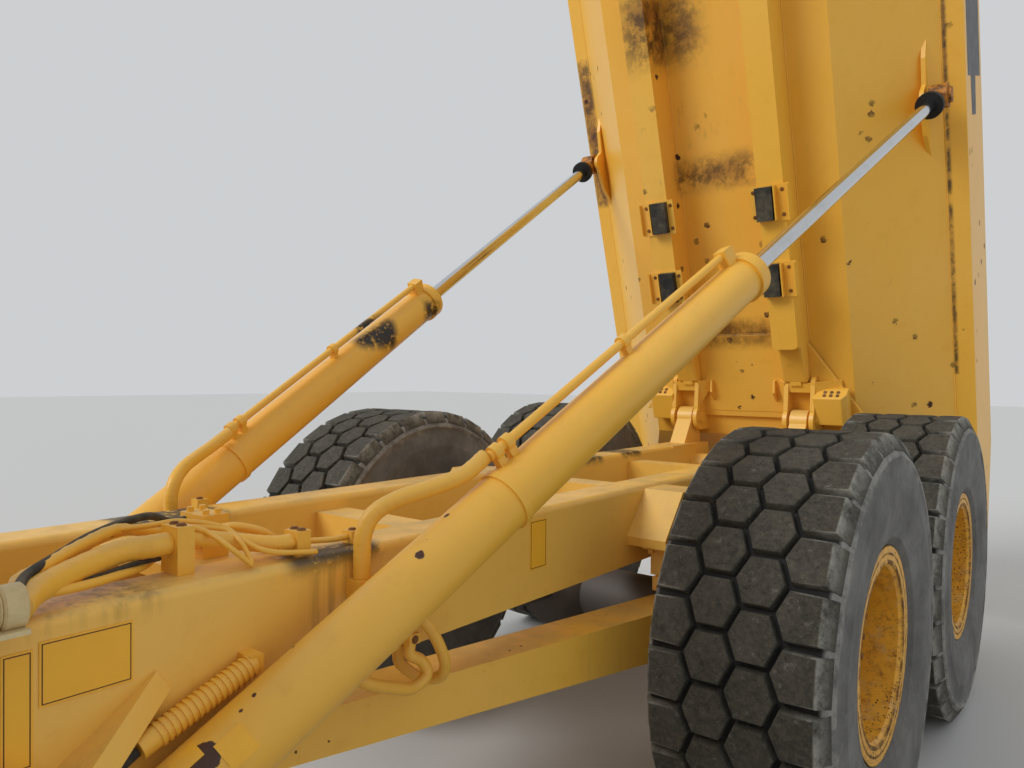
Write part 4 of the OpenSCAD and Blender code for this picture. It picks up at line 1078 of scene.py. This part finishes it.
# %% Weld beads
def weld(name, body, points, size=0.006):
    """Makes a bead along points and returns how many faces it has."""
    curve = bpy.data.curves.new(name + "_line", "CURVE")
    curve.dimensions = "3D"
    spline = curve.splines.new("POLY")
    spline.points.add(len(points) - 1)
    for point, p in zip(spline.points, points):
        point.co = (*p, 1)
    line = new_object(name + "_line", curve)

    def build(tree, inputs):
        info = add(tree, "GeometryNodeObjectInfo", Object=line)
        step = add(tree, "GeometryNodeResampleCurve", Curve=info.outputs["Geometry"])
        step.mode = "LENGTH"
        link(tree, inputs["Step"], step.inputs["Length"])
        drop = add(tree, "GeometryNodeMeshUVSphere", Segments=8, Rings=5, Radius=inputs["Size"])
        row = add(tree, "GeometryNodeInstanceOnPoints", Points=step.outputs["Curve"],
                  Instance=drop.outputs["Mesh"])
        return row.outputs["Instances"]

    piece = grow(name, body, PAINT["bed"], build, "yellow_paint", Size=size, Step=size * 1.15)
    bpy.data.objects.remove(line)
    piece.data.shade_smooth()
    return len(piece.data.polygons)


weld_faces = 0
for name, s in (("left", 1), ("right", -1)):
    fold = [on_bed(s * 1190, y, FOLD)[0] for y in (-1950, 2290)]
    weld_faces += weld("fold_weld_" + name, "bed", fold, 0.007)
    edge = [on_bed(s * x, y, 1582)[0] for x, y in plate_outline[1:3]]
    weld_faces += weld("plate_weld_" + name, "bed", edge)
    for x in (463, 297):
        seam = [on_bed(s * x, y, 1598)[0] for y in (-1555, 1600)]
        weld_faces += weld("rail_weld_%s_%d" % (name, x), "bed", seam)
weld_faces += weld("top_weld", "bed", [on_bed(x, 1566, 1590)[0] for x in (-295, 295)])
print("weld faces", weld_faces)

# %% [markdown]
# On the near side wall lies the blank grey strip that the photograph shows at its upper right corner.

# %% Side strip
outline = [(-1400, 2225), (180, 2225), (180, 2330), (410, 2345), (410, 2500), (180, 2520), (180, 2715),
           (-1400, 2715)]
strip_bm = bmesh.new()
skin(strip_bm, [[strip_bm.verts.new(raised(station(x, y, z))) for y, z in outline]
                for x in (WALL_X - 0.4, WALL_X + 0.6)])
mesh_piece("side_strip", strip_bm, STRIP_GREY, "bed")

# %% [markdown]
# The hoses are swept again, round and smooth, along the routes of the part's source. Four of them leave the
# cream sleeve where the photograph shows it, and the thin lines between the sleeve and the fittings are
# added. A route is a smooth curve through a few points, and a ring is carried along it without twisting.


# %% Hose sweep
def along(points, count):
    """A smooth route through points given as stations."""
    route = [station(*p) for p in points]
    out = []
    for i in range(len(route) - 1):
        a, b, c, d = (route[max(0, min(j, len(route) - 1))] for j in (i - 1, i, i + 1, i + 2))
        for k in range(count):
            t = k / count
            out.append(0.5 * (2 * b + (c - a) * t + (2 * a - 5 * b + 4 * c - d) * t * t
                              + (3 * b - a - 3 * c + d) * t ** 3))
    return out + [route[-1]]


def sweep(bm, points, radius, sides=14, bands=0.0):
    """Adds one closed hose, its radius in millimetres. Bands makes it swell at every third ring."""
    line = along(points, 9)
    ways = [(line[min(i + 1, len(line) - 1)] - line[max(i - 1, 0)]).normalized() for i in range(len(line))]
    side = ways[0].orthogonal().normalized()
    rings = []
    for i, (p, way) in enumerate(zip(line, ways)):
        side = (side - way * side.dot(way)).normalized()
        other = way.cross(side)
        r = radius / 1000 * (1 + (bands if i % 3 == 0 and 0 < i < len(line) - 1 else 0))
        rings.append([bm.verts.new(p + r * (math.cos(a) * side + math.sin(a) * other))
                      for a in turns(sides)])
    skin(bm, rings)


def mirrored(points):
    return [(-x, y, z) for x, y, z in points]


# %% Painted hoses
hose_bm = bmesh.new()
sweep(hose_bm, [(512, -2452, 1348), (451, -2408, 1356), (386, -2317, 1366), (333, -2198, 1378),
                (345, -2130, 1382), (345, -2091, 1382)], 26, bands=0.035)
sweep(hose_bm, [(345, -2049.2, 1382), (345, -2020, 1382), (362, -1930, 1362), (388, -1860, 1348),
                (400, -1830, 1346), (400, -1801, 1346)], 21, bands=0.03)
sweep(hose_bm, [(500, -2452, 1366), (417, -2422, 1375), (377, -2362, 1385), (307, -2268, 1400),
                (250, -2167, 1412), (184, -2080, 1388), (108, -1946, 1350), (108, -1903, 1350)], 13,
      bands=0.08)
sweep(hose_bm, [(525, -2452, 1344), (449, -2408, 1348), (418, -2318, 1342), (384, -2241, 1338),
                (320, -2140, 1334), (240, -2060, 1334), (144, -1950, 1318), (144, -1903, 1318)], 10)
sweep(hose_bm, [(160.8, -1886, 1366), (200, -1886, 1366), (252, -1860, 1374), (284, -1800, 1352),
                (281, -1750, 1310), (281, -1736, 1290), (281, -1736, 1255.3)], 12)
sweep(hose_bm, [(160.8, -1862, 1350), (200, -1862, 1350), (320, -1856, 1335), (348, -1800, 1330),
                (356, -1740, 1330), (380, -1700, 1330), (400, -1660, 1330), (400, -1621, 1330)], 8)
lift = [(500, -1652, 1240.3), (500, -1652, 1300), (502, -1650, 1352), (513, -1628, 1404),
        (548, -1576, 1442), (600, -1496, 1470), (640.6, -1414.8, 1500.5), (651.8, -1339.2, 1545.3)]
loop_front = [(490, -1740.7, 1020), (490, -1704, 1020), (508, -1650, 968), (512, -1560, 926),
              (512, -1480, 900), (512, -1424, 922), (502, -1436, 962), (492, -1470, 986),
              (492, -1470, 1018.7)]
loop_rear = [(490, -1534.7, 1130), (490, -1496, 1130), (526, -1428, 1058), (536, -1376, 955),
             (502, -1358, 894), (440, -1378, 882), (404, -1420, 922), (400, -1432, 958),
             (400, -1432, 999.7)]
for points, radius, bands in ((lift, 23, 0.03), (loop_front, 17, 0.0), (loop_rear, 17, 0.0)):
    sweep(hose_bm, points, radius, bands=bands)
    sweep(hose_bm, mirrored(points), radius, bands=bands)
smooth_hoses = mesh_piece("smooth_hoses", hose_bm, PAINT["hose"], "rear_unit", smooth=True)
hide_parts("painted_hoses")

# %% Dark hoses
dark_bm = bmesh.new()
sweep(dark_bm, [(508, -2452, 1378), (425, -2409, 1385), (338, -2320, 1395), (278, -2239, 1410),
                (225, -2147, 1420), (150, -2040, 1414), (66, -1946, 1376), (66, -1903, 1376)], 10)
sweep(dark_bm, [(504, -2477.3, 934), (504, -2440, 934), (504, -2380, 942), (504, -2300, 976),
                (504, -2238, 1010)], 13)
dark_hoses = mesh_piece("dark_hoses", dark_bm, BLACK_RUBBER, "rear_unit", smooth=True)
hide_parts("hoses")

# %% Thin lines and cables
lines = [
    ([(250, -2170, 1412), (287, -2101, 1418), (314, -2043, 1422), (330, -1948, 1396), (392, -1922, 1362),
      (434, -1877, 1338), (452, -1760, 1321)], 7),
    ([(345, -2070, 1420), (363, -2012, 1400), (442, -1992, 1366), (451, -1944, 1321)], 7),
    ([(340, -2070, 1418), (335, -1951, 1392), (398, -1941, 1368), (439, -1936, 1321)], 6),
    ([(506, -2452, 1372), (410, -2405, 1372), (330, -2310, 1380), (262, -2200, 1396), (160, -2040, 1390),
      (60, -1946, 1340), (60, -1903, 1340)], 7),
]
cables = [
    ([(508, -2452, 1360), (449, -2413, 1365), (405, -2335, 1352), (376, -2255, 1345), (350, -2180, 1350),
      (320, -2100, 1345)], 6),
    ([(515, -2452, 1370), (430, -2411, 1378), (345, -2322, 1386), (290, -2242, 1398),
      (262, -2180, 1404)], 5),
]
thin_bm = bmesh.new()
for points, radius in lines:
    sweep(thin_bm, points, radius, sides=10)
mesh_piece("thin_lines", thin_bm, PAINT["hose"], "rear_unit", smooth=True)
cable_bm = bmesh.new()
for points, radius in cables:
    sweep(cable_bm, points, radius, sides=10)
mesh_piece("thin_cables", cable_bm, BLACK_RUBBER, "rear_unit", smooth=True)

# %% [markdown]
# The cream sleeve that holds the bundle is a round length with a collar, on a small bracket.


# %% Hose sleeve
def sleeve_part(bm, start, end, radius):
    """A short round length with broken edges, lying along Y about the middle of the bundle."""
    middle_x, middle_z, edge = 515, 1356, 4
    neck = radius - edge
    rings = []
    for y, r in ((start, neck), (start + edge, radius), (end - edge, radius), (end, neck)):
        rings.append([bm.verts.new(station(middle_x + r * math.cos(a), y, middle_z + r * math.sin(a)))
                      for a in turns(40)])
    skin(bm, rings)


sleeve_bm = bmesh.new()
sleeve_part(sleeve_bm, -2612, -2492, 41)
sleeve_part(sleeve_bm, -2486, -2446, 41)
sleeve_part(sleeve_bm, -2494, -2484, 35)
bmesh.ops.create_cube(sleeve_bm, size=1.0, matrix=Matrix.Translation(station(490, -2528, 1317))
                      @ Matrix.Diagonal((0.14, 0.160, 0.009, 1.0)))
sleeve = mesh_piece("sleeve", sleeve_bm, CREAM, "rear_unit")
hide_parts("hose_sleeve")
print("hose faces", len(smooth_hoses.data.polygons) + len(dark_hoses.data.polygons))

# %% [markdown]
# The blank plates are thin foils with a printed border. The border is a narrow dark frame that lies on
# the foil, and its corners are mitred.


# %% Frames round plates and panes
def frame_ring(bm, centre, u, v, width, proud):
    """A closed strip round a rectangle with half sides u and v, rounded towards the viewer."""
    out = u.cross(v).normalized()
    foot = -0.0004
    profile = [(0, foot), (0, proud * 0.6), (width * 0.25, proud), (width * 0.75, proud),
               (width, proud * 0.6), (width, foot)]
    rings = []
    for a, b in ((1, 1), (-1, 1), (-1, -1), (1, -1)):
        corner = centre + u * a + v * b
        inward = -(u.normalized() * a + v.normalized() * b)
        rings.append([bm.verts.new(corner + inward * d + out * h) for d, h in profile])
    skin(bm, rings, ends=False, closed=True)


face_x = 470 + 2.3
inset = 0.004
border_bm = bmesh.new()
for y0, y1, z0, z1 in ((-2404, -2230, 1142, 1266), (-2467, -2414, 1035, 1256), (-889, -795, 1106, 1275)):
    middle = station(face_x, (y0 + y1) / 2, (z0 + z1) / 2)
    half_y = Vector((0, (y1 - y0) / 2000 - inset, 0))
    half_z = Vector((0, 0, (z1 - z0) / 2000 - inset))
    frame_ring(border_bm, middle, half_y, half_z, 0.0022, 0.0005)
mesh_piece("plate_borders", border_bm, SIGN_LINE, "rear_unit")

# %% [markdown]
# The cab's panes sit in black rubber seals, and the windscreen has a wiper. The front unit isn't in the
# photograph, so these are the plain forms that such a cab has.

# %% Window seals
CAB_X, CAB_FRONT, CAB_BACK = 780, -5230, -3750
SCREEN_LEAN = 0.19
SEAL_OVER = 0.012


def seal_box(bm, low, high, out):
    """A seal round a rectangular opening, given by two opposite corners and the way it faces."""
    low, high = station(*low), station(*high)
    half = (high - low) / 2
    u = Vector((0, half.y, 0)) if abs(out.x) > 0.5 else Vector((half.x, 0, 0))
    v = Vector((0, 0, half.z))
    if u.cross(v).dot(out) < 0:
        u = -u
    frame_ring(bm, (low + high) / 2, u + u.normalized() * SEAL_OVER, v + v.normalized() * SEAL_OVER,
               0.026, 0.006)


seals_bm = bmesh.new()
seal_box(seals_bm, (CAB_X, -4060, 2350), (CAB_X, -3850, 3190), Vector((1, 0, 0)))
seal_box(seals_bm, (-CAB_X, -4900, 2350), (-CAB_X, -3850, 3190), Vector((-1, 0, 0)))
seal_box(seals_bm, (-680, CAB_BACK, 2350), (680, CAB_BACK, 3190), Vector((0, 1, 0)))
slope = Vector((0, 190, 1000)).normalized()
screen_mid = station(0, CAB_FRONT + 190 * 0.485, 2745)
frame_ring(seals_bm, screen_mid, Vector((-0.712, 0, 0)), slope * 0.4653, 0.028, 0.006)
mesh_piece("window_seals", seals_bm, BLACK_RUBBER, "tractor")
door_bm = bmesh.new()
seal_box(door_bm, (CAB_X, -4890, 2250), (CAB_X, -4190, 3110), Vector((1, 0, 0)))
mesh_piece("door_seal", door_bm, BLACK_RUBBER, "door")


# %% Wiper
def rod_between(bm, a, b, radius, sides=10):
    """A round bar whose ends are drawn in a little."""
    way = (b - a).normalized()
    turn = way.to_track_quat("Z", "Y").to_matrix()
    length = (b - a).length
    rings = []
    for along, r in ((0, 0.6), (radius * 0.5, 1), (length - radius * 0.5, 1), (length, 0.6)):
        circle = [turn @ Vector((math.cos(t), math.sin(t), 0)) for t in turns(sides)]
        rings.append([bm.verts.new(a + way * along + p * radius * r) for p in circle])
    skin(bm, rings)


def on_screen(x, z, proud):
    """A point in front of the sloping windscreen."""
    return station(x, CAB_FRONT + SCREEN_LEAN * (z - 2260) - proud, z)


wiper_bm = bmesh.new()
rod_between(wiper_bm, on_screen(60, 2285, 14), on_screen(360, 2700, 22), 0.007)
rod_between(wiper_bm, on_screen(60, 2285, -4), on_screen(60, 2285, 26), 0.016)
rod_between(wiper_bm, on_screen(360, 2380, 12), on_screen(360, 3040, 12), 0.007)
rod_between(wiper_bm, on_screen(360, 2700, 30), on_screen(360, 2700, 6), 0.008)
mesh_piece("wiper", wiper_bm, DARK_PAINT, "tractor", smooth=True)

# %% Mirror glass
MIRROR = dusty_finish("mirror_glass", tone(0.75, 0.77, 0.78), 0.06, DUST, 0.1, metal=1.0,
                      bump_strength=0.02)
mirror_bm = bmesh.new()
for s in (1, -1):
    centre = station(s * 1190, -5216, 2830)
    outline = soft_box(0.094, 0.212, 0.35, turns(32, 0.5))
    rings = []
    for scale, push in ((1.0, -0.001), (1.0, 0.003), (0.8, 0.005), (0.4, 0.0065)):
        rings.append([mirror_bm.verts.new(centre + Vector((x * scale, push, z * scale)))
                      for x, z in outline])
    skin(mirror_bm, rings)
mesh_piece("mirror_glass", mirror_bm, MIRROR, "tractor", smooth=True)
print("wiper and mirrors made")

# %% [markdown]
# Each head lamp gets a crowned lens and a dark ring that holds it. Both are turned about the lamp's axis
# from their profiles.


# %% Head lamps
def lathe_y(bm, centre, profile, closed):
    """Turns (radius, forward) points about an axis along Y: a closed ring, or a body with two flat ends."""
    rings = []
    for r, forward in profile:
        rings.append([bm.verts.new(centre + Vector((r * math.cos(a), -forward, r * math.sin(a))))
                      for a in turns(32)])
    skin(bm, rings, ends=not closed, closed=closed)


lens_bm = bmesh.new()
ring_bm = bmesh.new()
lens_side = [(0.062, -0.002), (0.062, 0.002), (0.055, 0.006), (0.04, 0.011), (0.02, 0.0145),
             (0.004, 0.0155)]
ring_side = [(0.0765, -0.03), (0.079, -0.026), (0.079, 0.002), (0.074, 0.008), (0.064, 0.009),
             (0.0615, 0.004), (0.0615, -0.03)]
for s in (1, -1):
    for x in (735, 915):
        middle = station(s * x, -6909, 1250)
        lathe_y(lens_bm, middle, lens_side, closed=False)
        lathe_y(ring_bm, middle, ring_side, closed=True)
mesh_piece("lamp_lenses", lens_bm, LENS, "tractor", smooth=True)
mesh_piece("lamp_rings", ring_bm, DARK_PAINT, "tractor", smooth=True)
print("lamps dressed")

# %% [markdown]
# The driver's seat is two foam cushions in cloth on a ribbed bellows. A cushion starts as a fine cube
# whose points are drawn to a rounded box. Its top is crowned, its sides are drawn in and stitched
# channels are pressed into it.


# %% Seat
def cushion(name, centre, half, tilt, channels, crown):
    """Half gives the half sizes, and channels the places of the stitched lines along the cushion."""
    bm = bmesh.new()
    bmesh.ops.create_cube(bm, size=2)
    bmesh.ops.subdivide_edges(bm, edges=bm.edges, cuts=22, use_grid_fill=True)
    for vertex in bm.verts:
        x, y, z = vertex.co
        rounded = (abs(x) ** 7 + abs(y) ** 7 + abs(z) ** 7) ** (1 / 7)
        x, y, z = x / rounded, y / rounded, z / rounded
        bulge = (1 - x * x) * (1 - y * y)
        z = z * (1 - crown + crown * bulge)
        pull = 1 - 0.025 * (1 - abs(z)) * (1 if abs(z) < 0.7 else 0)
        seam = sum(math.exp(-((y - place) / 0.035) ** 2) for place in channels) * 0.10
        rim = math.exp(-((abs(x) - 0.72) / 0.03) ** 2) * 0.08
        if z > 0:
            z -= seam * (1 if abs(x) < 0.72 else 0.3) + rim
        vertex.co = (x * half[0] * pull, y * half[1] * pull, z * half[2])
    turn = Matrix.Rotation(tilt, 4, "X")
    bmesh.ops.transform(bm, matrix=Matrix.Translation(station(*centre)) @ turn, verts=bm.verts)
    piece = mesh_piece(name, bm, CLOTH, "tractor", smooth=True)
    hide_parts("seat")


cushion("seat_cushion", (0, -4435, 2147), (0.246, 0.25, 0.06), 0.0, (-0.45, 0.0, 0.45), 0.35)
cushion("seat_back", (0, -4178, 2535), (0.236, 0.325, 0.052), math.radians(80.4),
        (-0.5, -0.15, 0.2, 0.55), 0.35)
bellows_bm = bmesh.new()
bellows_low, bellows_high, levels = 1806, 2084, 32
rings = []
for k in range(levels + 1):
    reach = 0.118 + 0.012 * math.cos(2 * math.pi * k / 4)
    middle = station(0, -4440, bellows_low + (bellows_high - bellows_low) * k / levels)
    outline = soft_box(reach, reach - 0.01, 0.4, turns(40))
    rings.append([bellows_bm.verts.new(middle + Vector((x, y, 0))) for x, y in outline])
skin(bellows_bm, rings)
bellows = mesh_piece("seat_bellows", bellows_bm, BLACK_RUBBER, "tractor", smooth=True)
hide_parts("seat")
print("seat made")

# %% [markdown]
# The camera stands where the photograph was taken, close beside the centre joint, and looks to the
# rear. Its place was worked out from paired points of the left and right hoist cylinders.

# %% Camera
YAW, PITCH, ROLL = 0.6751, -0.01, 0.0079
FOCAL_PIXELS, PICTURE_PIXELS, SENSOR = 763.4661, 1024, 36.0
camera_data = bpy.data.cameras.new("camera")
camera_data.sensor_width = SENSOR
camera_data.lens = FOCAL_PIXELS / PICTURE_PIXELS * SENSOR
camera_data.clip_end = 200
camera = new_object("camera", camera_data)
right = Vector((math.cos(YAW), math.sin(YAW), 0))
level = Vector((-math.sin(YAW), math.cos(YAW), 0))
forward = level * math.cos(PITCH) + Vector((0, 0, 1)) * math.sin(PITCH)
up = right.cross(forward)
right_r = right * math.cos(ROLL) + up * math.sin(ROLL)
up_r = up * math.cos(ROLL) - right * math.sin(ROLL)
turn = Matrix((right_r, up_r, -forward)).transposed().to_4x4()
camera.matrix_world = Matrix.Translation(station(2048, -2964.3, 1770.8)) @ turn
bpy.context.scene.camera = camera
print("camera at", [round(v, 3) for v in camera.location])

# %% [markdown]
# The light is that of a bright overcast day: an even sky and one large soft lamp from the upper left.
# The floor is pale and plain.

# %% Floor, sky and lamp
floor_bm = bmesh.new()
bmesh.ops.create_grid(floor_bm, x_segments=1, y_segments=1, size=60)
floor = mesh_piece("floor", floor_bm, start_material("floor_pale", tone(0.80, 0.80, 0.79), 0.9)[0], None)
world = bpy.data.worlds.new("sky")
bpy.context.scene.world = world
world.use_nodes = True
sky = world.node_tree.nodes["Background"]
sky.inputs["Color"].default_value = tone(0.93, 0.94, 0.95)
sky.inputs["Strength"].default_value = 0.72
sun_data = bpy.data.lights.new("sun", "SUN")
sun_data.energy = 1.5
sun_data.angle = math.radians(25)
sun = new_object("sun", sun_data)
sun.rotation_euler = (math.radians(46), math.radians(-34), 0)
bpy.context.scene.view_settings.view_transform = "Standard"

# %% Import json
import json
